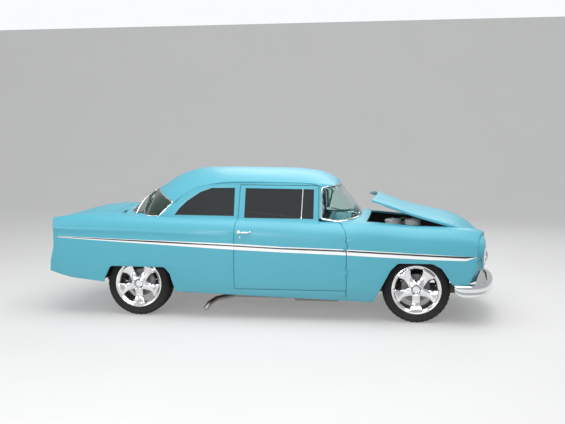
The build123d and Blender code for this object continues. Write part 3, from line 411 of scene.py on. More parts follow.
redLens = makeFinish("redLens", "red_lens", (0.5, 0.012, 0.01), (0.3, 0.006, 0.006), 0.6, 20, 0.12, 0.08,
                     (260, 0.15, 1), Coat_Weight=0.8, Coat_Roughness=0.04)
seatVinyl = makeFinish("whiteVinyl", "seat_cover", (0.72, 0.71, 0.67), (0.62, 0.6, 0.56), 0.5, 7, 0.46, 0.1,
                       (700, 0.3, 1), Sheen_Weight=0.1)
seatAccent = makeFinish("turquoiseVinyl", "seat_cover", (0.1, 0.36, 0.44), (0.07, 0.27, 0.34), 0.5, 7, 0.44,
                        0.1, (700, 0.3, 1), Sheen_Weight=0.1)
carpet = makeFinish("loopCarpet", "carpet", (0.05, 0.11, 0.125), (0.025, 0.06, 0.07), 0.8, 60, 0.9, 0.08,
                    (900, 0.9), Sheen_Weight=0.5, Sheen_Roughness=0.6)
headlining = makeFinish("headlining", "headlining", (0.66, 0.66, 0.62), (0.55, 0.55, 0.52), 0.5, 14, 0.85,
                        0.08, (1300, 0.5), Sheen_Weight=0.3)
ivoryPlastic = makeFinish("ivoryPlastic", "wheel_rim_plastic", (0.7, 0.7, 0.64), (0.6, 0.6, 0.55), 0.4, 8,
                          0.25, 0.08, (600, 0.05), Coat_Weight=0.3)
blackPlastic = makeFinish("blackPlastic", "seal_rubber", (0.02, 0.02, 0.022), (0.05, 0.05, 0.05), 0.5, 12,
                          0.36, 0.12, (500, 0.2))
dialFace = makeFinish("dialFace", "seal_rubber", (0.045, 0.05, 0.055), (0.08, 0.085, 0.09), 0.4, 30, 0.4,
                      0.05, (600, 0.1))
radiatorCore = makeFinish("radiatorCore", "cast_parts", (0.05, 0.05, 0.052), (0.11, 0.1, 0.09), 0.6, 40,
                          0.45, 0.2, (900, 0.9), Metallic=0.5)
redPaint = makeFinish("redPaint", "under_paint", (0.5, 0.02, 0.015), (0.3, 0.012, 0.01), 0.5, 10, 0.35, 0.1,
                      (400, 0.1))
mirrorGlass = makeFinish("mirrorGlass", "polished_metal", (0.9, 0.91, 0.92), (0.85, 0.86, 0.87), 0.2, 4,
                         0.02, 0.01, None, Metallic=1.0)
print("materials made")


# Camera at the photograph's place, floor that bends up into a backdrop, and lamps
stage = {
    "cameraPlace": (0.9476, -7.6022, 1.6997), "pitchDown": 4.764, "yaw": 6.898, "lens": 42.05,
    "floorColour": (0.42, 0.42, 0.415), "floorOther": (0.39, 0.39, 0.385), "floorGlow": 0.26,
    "width": 130, "rows": 77, "front": 55, "bendFrom": 12, "bendRun": 10, "bendRise": 7, "wallSlope": 1.2,
    "worldLight": 0.48, "worldColour": (0.95, 0.97, 1.0, 1),
}
lamps = {  # place, target, size and power
    "keyLamp": ((2.5, -5.0, 7.5), (0, 0, 0.6), (7, 5), 330),
    "fillLamp": ((-7.5, -5.5, 4.0), (-0.5, 0, 0.6), (5, 4), 150),
    "rimLamp": ((1.0, 7.5, 6.0), (0, 0, 0.8), (8, 3), 200),
    "topLamp": ((0.4, -0.6, 6.2), (0, 0, 0.8), (7, 4), 300),
    "sideLamp": ((-1.5, -7.5, 2.5), (1.3, 0, 0.9), (2, 1.4), 130),
}
scene = bpy.context.scene
camera = bpy.data.objects.new("Camera", bpy.data.cameras.new("Camera"))
scene.collection.objects.link(camera)
camera.location = stage["cameraPlace"]
camera.rotation_euler = (radians(90 - stage["pitchDown"]), 0, radians(stage["yaw"]))
camera.data.lens = stage["lens"]
camera.data.sensor_width = 36
camera.data.clip_end = 200
scene.camera = camera
scene.view_settings.view_transform = "Standard"


def floorShape(u, v):
    bendFrom, rise = stage["bendFrom"], stage["bendRise"]
    run = v * stage["rows"] - stage["front"]
    bend = max(0.0, min(1.0, (run - bendFrom) / stage["bendRun"]))
    back = min(run, bendFrom + rise * sin(bend * pi / 2)) if run > bendFrom else run
    up = max(0, run - bendFrom - stage["bendRun"]) * stage["wallSlope"]
    return ((u - 0.5) * stage["width"], back, rise * (1 - cos(bend * pi / 2)) + up)


floor = smoothAll(gridPiece("studioFloor", 2, stage["rows"], floorShape))
floor.data.materials.append(makeFinish(
    "studioFloorPaint", None, stage["floorColour"], stage["floorOther"], 0.5, 0.5, 0.7, 0.1, (40, 0.02),
    Emission_Color=(1, 1, 1, 1), Emission_Strength=stage["floorGlow"]))
for name, (place, target, size, power) in lamps.items():
    lamp = bpy.data.objects.new(name, bpy.data.lights.new(name, "AREA"))
    scene.collection.objects.link(lamp)
    lamp.data.shape = "RECTANGLE"
    lamp.data.size, lamp.data.size_y = size
    lamp.data.energy = power
    lamp.location = place
    lamp.rotation_euler = (Vector(target) - Vector(place)).to_track_quat("-Z", "Y").to_euler()
world = bpy.data.worlds.new("studioWorld")
world.use_nodes = True
scene.world = world
sky = world.node_tree.nodes["Background"]
paths = addNode(world.node_tree, "LightPath", {})
glow = addNode(world.node_tree, "MapRange", {"To Min": stage["worldLight"], "To Max": 1.0,
                                             "Value": paths.outputs["Is Camera Ray"]})
world.node_tree.links.new(glow.outputs["Result"], sky.inputs["Strength"])
sky.inputs["Color"].default_value = stage["worldColour"]
print("camera and stage made")


# Panels, glass and frame parts that keep the solids' own form: softened copies of them
def dressedCopy(node, name, material, edge=0.002, slot=None, smooth=34, flat=0.35):
    obj = duplicate(nodes[node], name)
    startEdit(obj)
    bpy.ops.mesh.remove_doubles(threshold=0.00003)
    bpy.ops.mesh.dissolve_limited(angle_limit=radians(flat), use_dissolve_boundaries=False)
    endEdit()
    softenEdges(obj, edge, 2, 40, smooth)
    return finishPiece(obj, material, bodyOf[node], slot, [node])


paintedNodes = ["fender_left", "fender_right", "quarter_left", "quarter_right", "cowl", "rear_deck",
                "tail_panel",
                "boot_lid", "roof", "door_left", "door_right", "hood", "nose_panel"]
# room beside the shut hood, off the cowl
hoodCorner = {"x": (0.994, 1.240), "y": (0.7615, 0.7725), "z": (0.90, 1.20)}
# where the fenders' inner faces are black
engineBay = {"x": (0.83, 2.06), "beyondY": 0.775, "z": (0.44, 1.0)}
skins = {node: dressedCopy(node, node + "Skin", bodyPaint, 0.0018) for node in paintedNodes}
for side in (-1, 1):
    near, far = sorted(side * y for y in hoodCorner["y"])
    (back, front), (low, high) = hoodCorner["x"], hoodCorner["z"]
    room = blockPiece("hoodCornerRoom", (back, near, low), (front, far, high), 0)
    useModifier(skins["cowl"], "BOOLEAN", operation="DIFFERENCE", object=room, solver="EXACT")
    bpy.data.objects.remove(room)
for sideName, side in sides:
    skin = skins[f"fender_{sideName}"]
    deselect()
    for polygon in skin.data.polygons:
        x, y, z = polygon.center
        inward = polygon.normal.y * side < -0.35 or polygon.normal.z < -0.5
        beside = engineBay["x"][0] < x < engineBay["x"][1] and abs(y) > engineBay["beyondY"]
        polygon.select = inward and beside and engineBay["z"][0] < z < engineBay["z"][1]
    activate(skin)
    bpy.context.tool_settings.mesh_select_mode = (False, False, True)
    bpy.ops.object.mode_set(mode="EDIT")
    bpy.ops.mesh.separate(type="SELECTED")
    endEdit()
    bpy.context.tool_settings.mesh_select_mode = (True, False, False)
    liner = next(o for o in bpy.context.selected_objects if o != skin)
    liner.name = f"bayLiner_{sideName}"
    finishPiece(liner, chassisBlack, stands=[f"fender_{sideName}"])
for node in ("door_glass_left", "door_glass_right", "quarter_glass"):
    dressedCopy(node, node + "Pane", darkGlass, 0)
for node, name, glass in (("rear_window", "rearWindowPane", rearGlass),
                          ("windscreen", "windscreenPane", clearGlass)):
    dressedCopy(node, name, glass, 0, smooth=75, flat=0.02)
print("panels dressed")


# Side stripe: a white band with a black line, on the fender, door and quarter panel
stripe = {
    "top": [(-2.290, 0.857), (-0.378, 0.808), (0.117, 0.784), (0.790, 0.767), (1.624, 0.729), (1.978, 0.712),
            (2.083, 0.712)],
    "bottom": [(-2.291, 0.843), (-0.379, 0.747), (0.117, 0.728), (0.790, 0.708), (1.625, 0.674),
               (1.979, 0.668),
               (2.084, 0.706)],
    "lift": 0.0014, "blackWidth": 0.023, "blackLift": 0.0022, "thickness": 0.0012,
    "spans": {"quarter": (-2.290, -0.360), "door": (-0.357, 0.790), "fender": (0.799, 2.083)},
}


def bottomAt(x):
    return atX(stripe["bottom"], x)


def topAt(x):
    return atX(stripe["top"], x)


def blackAt(x, way):  # lower or upper edge of the black line
    low, high = bottomAt(x), topAt(x)
    middle = low + (high - low) * (0.62 + 0.1 * (x + 2.3) / 4.4)
    return middle + way * (min(stripe["blackWidth"], 0.55 * (high - low)) / 2)


def laidStrip(name, tree, side, span, lowAt, highAt, lift, count, rows=4):
    last = [side * 0.95]

    def shape(u, v):
        x = span[0] + (span[1] - span[0]) * u
        z = lowAt(x) + (highAt(x) - lowAt(x)) * v
        last[0] = sideHit(tree, x, z, side, last[0])
        edge = 1 if 0.001 < v < 0.999 else 0.15
        return (x, last[0] + side * lift * edge, z)

    strip = mendNormals(gridPiece(name, count, rows, shape))
    return smoothBy(thicken(strip, stripe["thickness"]), 40)


for sideName, side in sides:
    for panel, span in stripe["spans"].items():
        node = f"{panel}_{sideName}"
        tree = treeOf(node)
        count = max(12, int((span[1] - span[0]) / 0.03))
        white = laidStrip(f"{node}StripeWhite", tree, side, span, bottomAt, topAt, stripe["lift"], count)
        finishPiece(white, stripeWhite, bodyOf[node])
        black = laidStrip(f"{node}StripeBlack", tree, side, span, lambda x: blackAt(x, -1),
                          lambda x: blackAt(x, 1),
                          stripe["blackLift"], count, 3)
        finishPiece(black, stripeBlack, bodyOf[node])
print("stripes laid")


# Crease that runs forward along the quarter panel from the tail lamp
crease = {"line": [(-2.34, 0.934), (-1.58, 0.925), (-0.932, 0.907), (-0.40, 0.882)], "from": -2.338,
          "to": -0.42,
          "height": 0.085, "crest": 0.62, "swell": 0.013}
for sideName, side in sides:
    node = f"quarter_{sideName}"
    tree = treeOf(node)
    held = [side * 0.94]

    def creaseShape(u, v):
        crest = crease["crest"]
        x = crease["from"] + (crease["to"] - crease["from"]) * u
        z = atX(crease["line"], x) + (v - crest) * crease["height"]
        held[0] = sideHit(tree, x, z, side, held[0])
        fade = (1 - u) ** 0.7 * min(1, u * 30 + 0.6)
        rise = (v / crest) ** 1.6 if v < crest else ((1 - v) / (1 - crest)) ** 0.9
        return (x, held[0] + side * (crease["swell"] * fade * rise - 0.0006), z)

    ridge = thicken(mendNormals(gridPiece(f"{node}Crease", 90, 14, creaseShape)), 0.001)
    finishPiece(smoothBy(ridge, 50), bodyPaint)
print("creases made")


# Drip rails above the side windows
dripRail = {
    "line": [(-1.046, 1.223), (-0.968, 1.288), (-0.887, 1.340), (-0.808, 1.376), (-0.723, 1.403),
             (-0.62, 1.421),
             (-0.523, 1.434), (-0.389, 1.440), (-0.2, 1.441), (0.012, 1.438), (0.24, 1.432), (0.40, 1.427),
             (0.478, 1.418), (0.515, 1.395)],
    "radius": 0.0075, "lift": 0.003,
}
roofTree = treeOf("roof")
for sideName, side in sides:
    points = []
    for x, z in dripRail["line"]:
        y = sideHit(roofTree, x, z, side, points[-1][1] if points else side * 0.7)
        points.append((x, y + side * dripRail["lift"], z))
    finishPiece(tubePiece(f"dripRail_{sideName}", points, dripRail["radius"], 8), bodyPaint)
print("drip rails made")


# Bright and rubber beads that follow the edge of a pane, read from the pane's own outer edge
def paneEdges(node):
    obj = duplicate(nodes[node], "edgeSource")
    startEdit(obj)
    bpy.ops.mesh.remove_doubles(threshold=0.00004)
    endEdit()
    mesh = obj.data
    owners = {}
    for polygon in mesh.polygons:
        for key in polygon.edge_keys:
            owners.setdefault(key, []).append(polygon)
    cabinMiddle = Vector((-0.3, 0, 0.9))
    links = {}
    for key, faces in owners.items():
        if len(faces) != 2 or faces[0].normal.angle(faces[1].normal, 0) < radians(45):
            continue
        middle = (mesh.vertices[key[0]].co + mesh.vertices[key[1]].co) / 2
        if max(f.normal.dot((middle - cabinMiddle).normalized()) for f in faces) < 0.35:
            continue
        links.setdefault(key[0], set()).add(key[1])
        links.setdefault(key[1], set()).add(key[0])
    loops, used = [], set()
    for first in links:
        if first in used:
            continue
        loop = [first]
        used.add(first)
        while True:
            following = [n for n in links[loop[-1]] if n not in used]
            if not following:
                break
            loop.append(following[0])
            used.add(following[0])
        loops.append([mesh.vertices[i].co.copy() for i in loop])
    bpy.data.objects.remove(obj)
    return [loop for loop in loops if len(loop) > 6]


def evenPath(points, count=None, spacing=None):  # the same path with points at even distances
    length = [0.0]
    for a, b in zip(points, points[1:]):
        length.append(length[-1] + (Vector(b) - Vector(a)).length)
    count = count or max(8, int(length[-1] / spacing))
    found = []
    index = 0
    for step in range(count + 1):
        goal = length[-1] * step / count
        while index < len(points) - 2 and length[index + 1] < goal:
            index += 1
        part = (goal - length[index]) / (length[index + 1] - length[index])
        found.append(Vector(points[index]).lerp(Vector(points[index + 1]), part))
    return found


beads = [  # name, node, radius, finish
    ("windscreenFrame", "windscreen", 0.010, chrome), ("rearWindowFrame", "rear_window", 0.009, chrome),
    ("quarterGlassSeal", "quarter_glass", 0.0045, rubber),
    ("doorGlassSeal_left", "door_glass_left", 0.0045, rubber),
    ("doorGlassSeal_right", "door_glass_right", 0.0045, rubber),
]
for name, node, radius, material in beads:
    made = [tubePiece(name, evenPath(loop + [loop[0]], spacing=0.02)[:-1], radius, 8, cyclic=True,
                      smooth=False)
            for loop in paneEdges(node)]
    finishGroup(name, made, material, bodyOf[node])
    print("bead loops:", name, len(made))


# Wheels: polished rim with five broad spokes, modelled once about Z with the outside up
wheelShape = {
    "lip": 0.251, "halfWidth": 0.108, "spokes": 5, "spokeFrom": 0.040, "spokeTo": 0.222, "spokeHalf": 0.0315,
    "pinch": 0.30, "flare": 0.034, "dish": 0.030, "nutCircle": 0.057, "nutRadius": 0.0095,
}
wheelPlaces = {"front_left": (1.506, 1), "front_right": (1.506, -1), "rear_left": (-1.428, 1),
               "rear_right": (-1.428, -1)}
axleHeight, halfTrack = 0.345, 0.731


def spokeShape(u, v):  # u across the spoke, v along it, dished and crowned
    w = wheelShape
    along = w["spokeFrom"] + (w["spokeTo"] - w["spokeFrom"]) * v
    flare = max(0, (v - 0.5) / 0.5) ** 2.2
    half = w["spokeHalf"] * (1 - w["pinch"] * sin(pi * min(1, v * 1.15))) + w["flare"] * flare
    across = (u - 0.5) * 2
    rise = w["halfWidth"] - w["dish"] - 0.022 * sin(pi * min(1.0, v * 1.05)) + 0.010 * flare
    crown = 0.0075 * (1 - abs(across) ** 2.4)
    return (along if v < 0.9 else along - 0.004 * (across ** 2), across * half, rise + crown)


def makeWheel():
    w = wheelShape
    top, lip, nut = w["halfWidth"], w["lip"], w["nutRadius"]
    parts = [turnedPiece("rimShell", [
        (0.232, top - 0.012), (0.243, top - 0.010), (0.2466, top - 0.004), (lip - 0.002, top - 0.0015),
        (lip, top - 0.004), (lip, top - 0.001), (lip - 0.003, top), (lip - 0.009, top - 0.001),
        (0.236, top - 0.008), (0.2225, top - 0.016), (0.2145, top - 0.024), (0.211, top - 0.040),
        (0.209, top - 0.07),
        (0.207, -0.02), (0.2085, -top + 0.03), (0.214, -top + 0.012), (0.236, -top + 0.004),
        (0.2465, -top + 0.001),
        (0.2465, -top + 0.008), (0.236, -top + 0.010), (0.2185, -top + 0.02), (0.2165, -0.02),
        (0.218, top - 0.03),
        (0.226, top - 0.016), (0.232, top - 0.012),
    ], 96)]
    for number in range(w["spokes"]):
        spoke = thicken(gridPiece(f"spoke{number}", 12, 22, spokeShape), 0.034)
        spoke.data.transform(Matrix.Rotation(2 * pi * number / w["spokes"] - pi / 2, 4, "Z"))
        parts.append(useModifier(mendNormals(spoke), "BEVEL", width=0.006, segments=3, limit_method="ANGLE",
                                 angle_limit=radians(50), use_clamp_overlap=True))
    parts.append(turnedPiece("hubDisc", [
        (0.031, -0.030), (0.070, -0.030), (0.078, -0.004), (0.078, top - 0.058), (0.073, top - 0.046),
        (0.066, top - 0.042), (0.042, top - 0.040), (0.040, top - 0.034), (0.031, top - 0.034),
        (0.031, -0.030),
    ], 60))
    casting = joinPieces("wheelCasting", [smoothBy(part, 40) for part in parts])
    bright = [turnedPiece("wheelCap", [
        (0.0395, top - 0.040), (0.0395, top - 0.022), (0.036, top - 0.017), (0.026, top - 0.016),
        (0.024, top - 0.018),
        (0.010, top - 0.0165), (0, top - 0.016),
    ], 40)]
    for number in range(w["spokes"]):
        angle = 2 * pi * (number + 0.5) / w["spokes"] - pi / 2
        bright.append(shift(turnedPiece(f"nut{number}", [
            (nut, top - 0.046), (nut, top - 0.024), (nut * 0.8, top - 0.019), (0, top - 0.0175),
        ], 6), w["nutCircle"] * cos(angle), w["nutCircle"] * sin(angle), 0))
    bright.append(tubePiece("valveStem", [(0.2, 0.05, top - 0.03), (0.196, 0.05, top - 0.018),
                                          (0.19, 0.049, top - 0.006)], 0.0035, 6))
    return casting, softenEdges(joinPieces("wheelBright", bright), 0.0012, 2)


tyreShape = {
    "steps": 160, "inner": [(0.2325, 0.088), (0.236, 0.080), (0.28, 0.098), (0.322, 0.088), (0.331, 0.05)],
    "outer": [(0.2325, 0.092), (0.2385, 0.0985), (0.2475, 0.0992), (0.2525, 0.103), (0.262, 0.1085),
              (0.270, 0.1105),
              (0.2722, 0.1118), (0.2755, 0.112), (0.2768, 0.1104), (0.292, 0.1116), (0.3045, 0.111),
              (0.3075, 0.1118), (0.3105, 0.1108), (0.322, 0.106), (0.3325, 0.0975), (0.3392, 0.088),
              (0.3428, 0.078),
              (0.3436, 0.0615), (0.3375, 0.0600), (0.3375, 0.0520), (0.3443, 0.0505), (0.3449, 0.0245),
              (0.3385, 0.0232), (0.3385, 0.0150), (0.345, 0.0137)],
    "grooveDepth": 0.0055, "grooveFrom": 0.334, "plainMiddle": 0.02,
}


def makeTyre():
    outer, inner, steps = tyreShape["outer"], tyreShape["inner"], tyreShape["steps"]
    profile = (outer + [(r, -z) for r, z in reversed(outer)] + [(r, -z) for r, z in inner] + [(0.332, 0.0)]
               + inner[::-1] + outer[:1])
    tyre = turnedPiece("tyreShape", profile, steps)
    for vertex in tyre.data.vertices:  # cross grooves at the shoulders and across the ribs
        x, y, z = vertex.co
        r = sqrt(x ** 2 + y ** 2)
        if r < tyreShape["grooveFrom"] or abs(z) < tyreShape["plainMiddle"]:
            continue
        turn = int(round(atan2(y, x) / (2 * pi) * steps)) % steps
        if (turn + (1 if z > 0 else 3)) % 4 == 0:
            k = (r - tyreShape["grooveDepth"]) / r
            vertex.co = (x * k, y * k, z)
    tyre.data.update()
    return smoothBy(tyre, 30)


castingMaster, brightMaster = makeWheel()
tyreMaster = makeTyre()
brakeMaster = shift(softenEdges(turnedPiece("brakeMaster", [
    (0.075, 0.0), (0.075, 0.014), (0.142, 0.014), (0.142, 0.003), (0.148, 0.003), (0.148, -0.010),
    (0.075, -0.010),
    (0.075, 0.0)], 72), 0.001, 2), 0, 0, -0.012)
for corner, (x, side) in wheelPlaces.items():
    toWorld = (Matrix.Translation((x, side * halfTrack, axleHeight)) @ Matrix.Rotation(radians(-90 * side), 4,
                                                                                       "X")
               @ Matrix.Rotation(radians(0 if side < 0 else 180), 4, "Z"))
    for master, name, material, slot, stands in (
            (castingMaster, "wheelCasting", alloy, "wheel_alloy", [f"wheel_{corner}"]),
            (brightMaster, "wheelBright", chrome, None, []),
            (tyreMaster, "tyreRubber", tyreRubber, None, [f"tyre_{corner}"]),
            (brakeMaster, "brakeDisc", castMetal, None, [])):
        piece = duplicate(master, f"{name}_{corner}")
        piece.data.transform(toWorld)
        finishPiece(piece, material, f"wheel_set_{corner}", slot, stands)
for master in (castingMaster, brightMaster, tyreMaster, brakeMaster):
    bpy.data.objects.remove(master)
print("wheels and tyres made")


# Door handles, locks and the bright bar between the two door panes
doorTrim = {"handleX": (-0.322, -0.196), "handleZ": 0.926, "grip": 0.008, "barX": (0.322, 0.334),
            "barZ": (1.058, 1.367), "barRadius": 0.0062}
for sideName, side in sides:
    body = f"door_set_{sideName}"
    (rear, front), z = doorTrim["handleX"], doorTrim["handleZ"]
    middle = (rear + front) / 2
    skinY = sideHit(treeOf(f"door_{sideName}"), middle, z, side, side * 0.95)
    grip = tubePiece("handleGrip", [(x, skinY + side * out, z + up) for x, out, up in (
        (rear + 0.006, 0, -0.004), (rear + 0.010, 0.026, 0), (rear + 0.035, 0.036, 0.002),
        (middle, 0.038, 0.002),
        (front - 0.030, 0.034, 0.001), (front - 0.008, 0.022, 0), (front, 0, -0.003))], doorTrim["grip"], 10)
    turned = [(turnedPiece("escutcheon", [(size, 0), (size, 0.003), (size * 0.86, 0.006), (size * 0.5, 0.008),
                                          (0, 0.0085)], 28), x, z)
              for x, size in ((rear + 0.008, 0.018), (front - 0.002, 0.014))]
    turned.append((turnedPiece("lockBarrel", [(0.010, 0), (0.010, 0.005), (0.0075, 0.007), (0.006, 0.0055),
                                              (0, 0.0055)], 24), rear + 0.02, z - 0.052))
    plates = [placeAlong(plate, (x, skinY - side * 0.001, height), (0, side, 0)) for plate, x,
              height in turned]
    finishGroup(f"doorHandle_{sideName}", [grip] + plates, chrome, body, soft=0)
    glassTree = treeOf(f"door_glass_{sideName}")
    (back, front), (low, high) = doorTrim["barX"], doorTrim["barZ"]
    points = []
    for step in range(9):
        x, z = back + (front - back) * step / 8, low + (high - low) * step / 8
        y = sideHit(glassTree, x, min(max(z, low + 0.01), high - 0.01), side, side * 0.78)
        points.append((x, y + side * 0.002, z))
    finishPiece(tubePiece(f"ventBar_{sideName}", points, doorTrim["barRadius"], 8), chrome, body)
print("door trim made")


# Tail lamps: red lens with rings in a chrome bezel
tailLamp = {
    "place": (-2.338, 0.786, 0.905),
    "bezel": [(0.0795, -0.004), (0.0795, 0.020), (0.0775, 0.027), (0.072, 0.031), (0.0665, 0.031),
              (0.0635, 0.028),
              (0.0625, 0.020), (0.0625, -0.004), (0.0795, -0.004)],
    "lens": [(0.062, 0.0), (0.062, 0.026), (0.057, 0.033), (0.052, 0.0335), (0.047, 0.0395), (0.041, 0.040),
             (0.036, 0.0455), (0.030, 0.046), (0.026, 0.050), (0.020, 0.0515), (0.0175, 0.0488),
             (0.0125, 0.0488),
             (0.010, 0.0545), (0, 0.0555)],
}
for sideName, side in sides:
    x, y, z = tailLamp["place"]
    for part, material, stands in (("bezel", chrome, []), ("lens", redLens, ["tail_lamps"])):
        piece = turnedPiece(f"tailLamp{part.title()}_{sideName}", tailLamp[part], 64)
        placeAlong(piece, (x, side * y, z), (-1, 0, 0))
        finishPiece(softenEdges(piece, 0.0008, 2), material, stands=stands)
print("tail lamps made")


# Headlamps: chrome ring, fluted glass, and the bowl and bulb behind it
headLamp = {
    "place": (2.1503, 0.796, 0.790), "glass": 0.0868, "glassDome": 0.0165, "fluteDepth": 0.0009,
    "flutes": 260,
    "ring": [(0.107, 0.0), (0.1075, 0.006), (0.1065, 0.015), (0.102, 0.0225), (0.095, 0.0265),
             (0.0885, 0.0265),
             (0.0865, 0.023), (0.0865, 0.0), (0.107, 0.0)],
    "bowl": [(0.088, 0.020), (0.080, -0.006), (0.062, -0.034), (0.040, -0.052), (0.018, -0.060), (0, -0.062)],
    "bulb": [(0.010, -0.052), (0.011, -0.030), (0.0135, -0.022), (0.0135, -0.012), (0.009, -0.005),
             (0, -0.003)],
}


def lampGlassShape(u, v):
    y, z = (headLamp["glass"] * v * way(2 * pi * u) for way in (cos, sin))
    flute = headLamp["fluteDepth"] * abs(sin(y * headLamp["flutes"])) if v < 0.93 else 0
    return (y, z, 0.024 + headLamp["glassDome"] * (1 - v ** 2) + flute)


for sideName, side in sides:
    x, y, z = headLamp["place"]
    ring = turnedPiece(f"headlampRing_{sideName}", headLamp["ring"], 72)
    bowl = thicken(turnedPiece(f"headlampBowl_{sideName}", headLamp["bowl"], 48), 0.002)
    lens = thicken(mendNormals(gridPiece(f"headlampGlass_{sideName}", 96, 20, lampGlassShape)), 0.003)
    bulb = turnedPiece(f"headlampBulb_{sideName}", headLamp["bulb"], 24)
    for piece, material in ((ring, chrome), (bowl, mirrorGlass), (lens, lampGlass), (bulb, lampGlass)):
        placeAlong(piece, (x, side * y, z), (1, 0, 0))
        softenEdges(piece, 0.0006 if piece is ring else 0, 2)
        finishPiece(piece, material, stands=["headlamps"] if piece is ring else [])
print("headlamps made")


# Front bumper: rolled chrome blade that wraps round, guards with rubber inserts, and its brackets
bumperShape = {
    "plan": [(1.872, 0.950), (1.990, 0.9575), (2.075, 0.9385), (2.152, 0.884), (2.213, 0.802), (2.262, 0.69),
             (2.305, 0.55), (2.342, 0.40), (2.367, 0.25), (2.382, 0.12), (2.386, 0.0)],
    "section": [(-0.056, 0.424), (-0.046, 0.4237), (-0.020, 0.4225), (-0.006, 0.416), (0.003, 0.402),
                (0.0062, 0.384), (0.0048, 0.366), (0.0015, 0.355), (0.0035, 0.345), (0.0070, 0.326),
                (0.0050, 0.308), (-0.006, 0.296), (-0.022, 0.2925), (-0.034, 0.2925)],
    "top": 0.424, "steps": 120, "thickness": 0.004, "bracketY": 0.415,
}
guard = {
    "y": 0.600, "low": 0.300, "high": 0.551, "back": 2.143,
    "front": [(0.0, 2.258), (0.35, 2.248), (0.6, 2.236), (0.78, 2.221), (0.9, 2.196), (1.0, 2.156)],
    "half": [(0.0, 0.047), (0.5, 0.045), (0.8, 0.038), (1.0, 0.026)],
    "seam": [(2.150, 0.648, 0.552), (2.168, 0.653, 0.522), (2.172, 0.655, 0.490), (2.166, 0.656, 0.462),
             (2.180, 0.657, 0.438), (2.206, 0.655, 0.427), (2.235, 0.650, 0.426)],
}


def smoothPath(points, rounds=2):  # corners cut away, ends kept
    for _ in range(rounds):
        cut = [points[0]]
        for a, b in zip(points, points[1:]):
            cut += [Vector(a).lerp(Vector(b), 0.25), Vector(a).lerp(Vector(b), 0.75)]
        points = cut + [points[-1]]
    return points


def wayAt(path, i):  # direction of a path at one of its points
    return (path[min(i + 1, len(path) - 1)] - path[max(i - 1, 0)]).normalized()


half = bumperShape["plan"]
plan = evenPath(smoothPath([Vector((x, -y)) for x, y in half] + [Vector((x, y)) for x,
                                                                 y in reversed(half[:-1])]),
                bumperShape["steps"])
section = smoothPath([Vector(p) for p in bumperShape["section"]], 1)


def bladeShape(u, v):
    i = int(round(u * bumperShape["steps"]))
    way = wayAt(plan, i)
    out, up = section[int(round(v * (len(section) - 1)))]
    ends = min(1.0, min(u, 1 - u) / 0.05)
    z = bumperShape["top"] - (bumperShape["top"] - up) * (0.50 + 0.50 * sqrt(1 - (1 - ends) ** 2))
    return (plan[i].x + way.y * out, plan[i].y - way.x * out, z)


blade = mendNormals(gridPiece("bumperBlade", bumperShape["steps"], len(section) - 1, bladeShape))
finishPiece(smoothBy(thicken(blade, bumperShape["thickness"]), 50), chrome, stands=["front_bumper"])
for sideName, side in sides:
    def guardZ(v):
        return guard["low"] + (guard["high"] - guard["low"]) * v

    def guardShape(u, v):
        angle = (u - 0.5) * pi
        back, front = guard["back"], atX(guard["front"], v)
        return (back + (front - back) * max(0.0, cos(angle)) ** 0.62,
                side * guard["y"] + atX(guard["half"], v) * sin(angle), guardZ(v))

    def wingShape(u, v):  # plate between the blade's end and the guard
        return (2.085 + (2.178 - 2.085) * u + (0.010 + 0.058 * u) * (1 - v) ** 1.6,
                side * (0.905 - 0.245 * u - 0.006 * v), 0.415 + (0.030 + 0.105 * u ** 0.8) * v)

    shell = gridPiece(f"guardShell_{sideName}", 24, 20, guardShape)
    startEdit(shell, "DESELECT")
    bpy.ops.mesh.select_non_manifold()
    bpy.ops.mesh.edge_face_add()
    endEdit()
    finishPiece(softenEdges(mendNormals(shell), 0.004, 3, 35, 40), chrome)
    heights = [0.12 + 0.62 * step / 8 for step in range(9)]
    insert = [(atX(guard["front"], v) + 0.001, side * guard["y"], guardZ(v)) for v in heights]
    finishPiece(tubePiece(f"guardRubber_{sideName}", insert, 0.0085, 10), rubber)
    wing = thicken(mendNormals(gridPiece(f"bumperWing_{sideName}", 24, 14, wingShape)), 0.004, 0)
    finishPiece(softenEdges(wing, 0.0012, 2, 40, 50), chrome)
    finishPiece(tubePiece(f"guardSeam_{sideName}", [(x, side * y, z) for x, y, z in guard["seam"]], 0.0058,
                          8), rubber)
    y = side * bumperShape["bracketY"]
    bracket = blockPiece(f"bumperBracket_{sideName}", (2.092, y - 0.022, 0.302), (2.318, y + 0.022, 0.334),
                         0.005)
    finishPiece(bracket, chassisBlack)
print("bumper made")


# Grille: chrome surround and bar over the grid, park lamps, and the hood's lip above it
nose = {"front": 2.298, "halfWidth": 0.8, "bow": 0.152}
mouth = {"half": 0.600, "low": 0.586, "high": 0.742, "corner": 0.070, "barZ": 0.664, "barHalf": 0.592,
         "lipZ": 0.8735, "lipHalf": 0.655}
parkLamp = {"y": 0.50, "face": [(0.052, -0.018), (0.052, 0.006), (0.049, 0.012), (0.043, 0.012),
                                (0.040, 0.010),
                                (0.034, 0.016), (0.022, 0.0215), (0, 0.0235)]}
hoodHinge, hoodRaised = Vector((1.912, 0, 0.953)), 14.5
hoodTurn = Matrix.Translation(hoodHinge) @ Matrix.Rotation(radians(hoodRaised), 4,
                                                           "Y") @ Matrix.Translation(-hoodHinge)


def noseX(y, outside=0.0):  # front line of the nose in plan
    radius = (nose["halfWidth"] ** 2 + nose["bow"] ** 2) / (2 * nose["bow"])
    return nose["front"] - radius + sqrt((radius + outside) ** 2 - y * y)


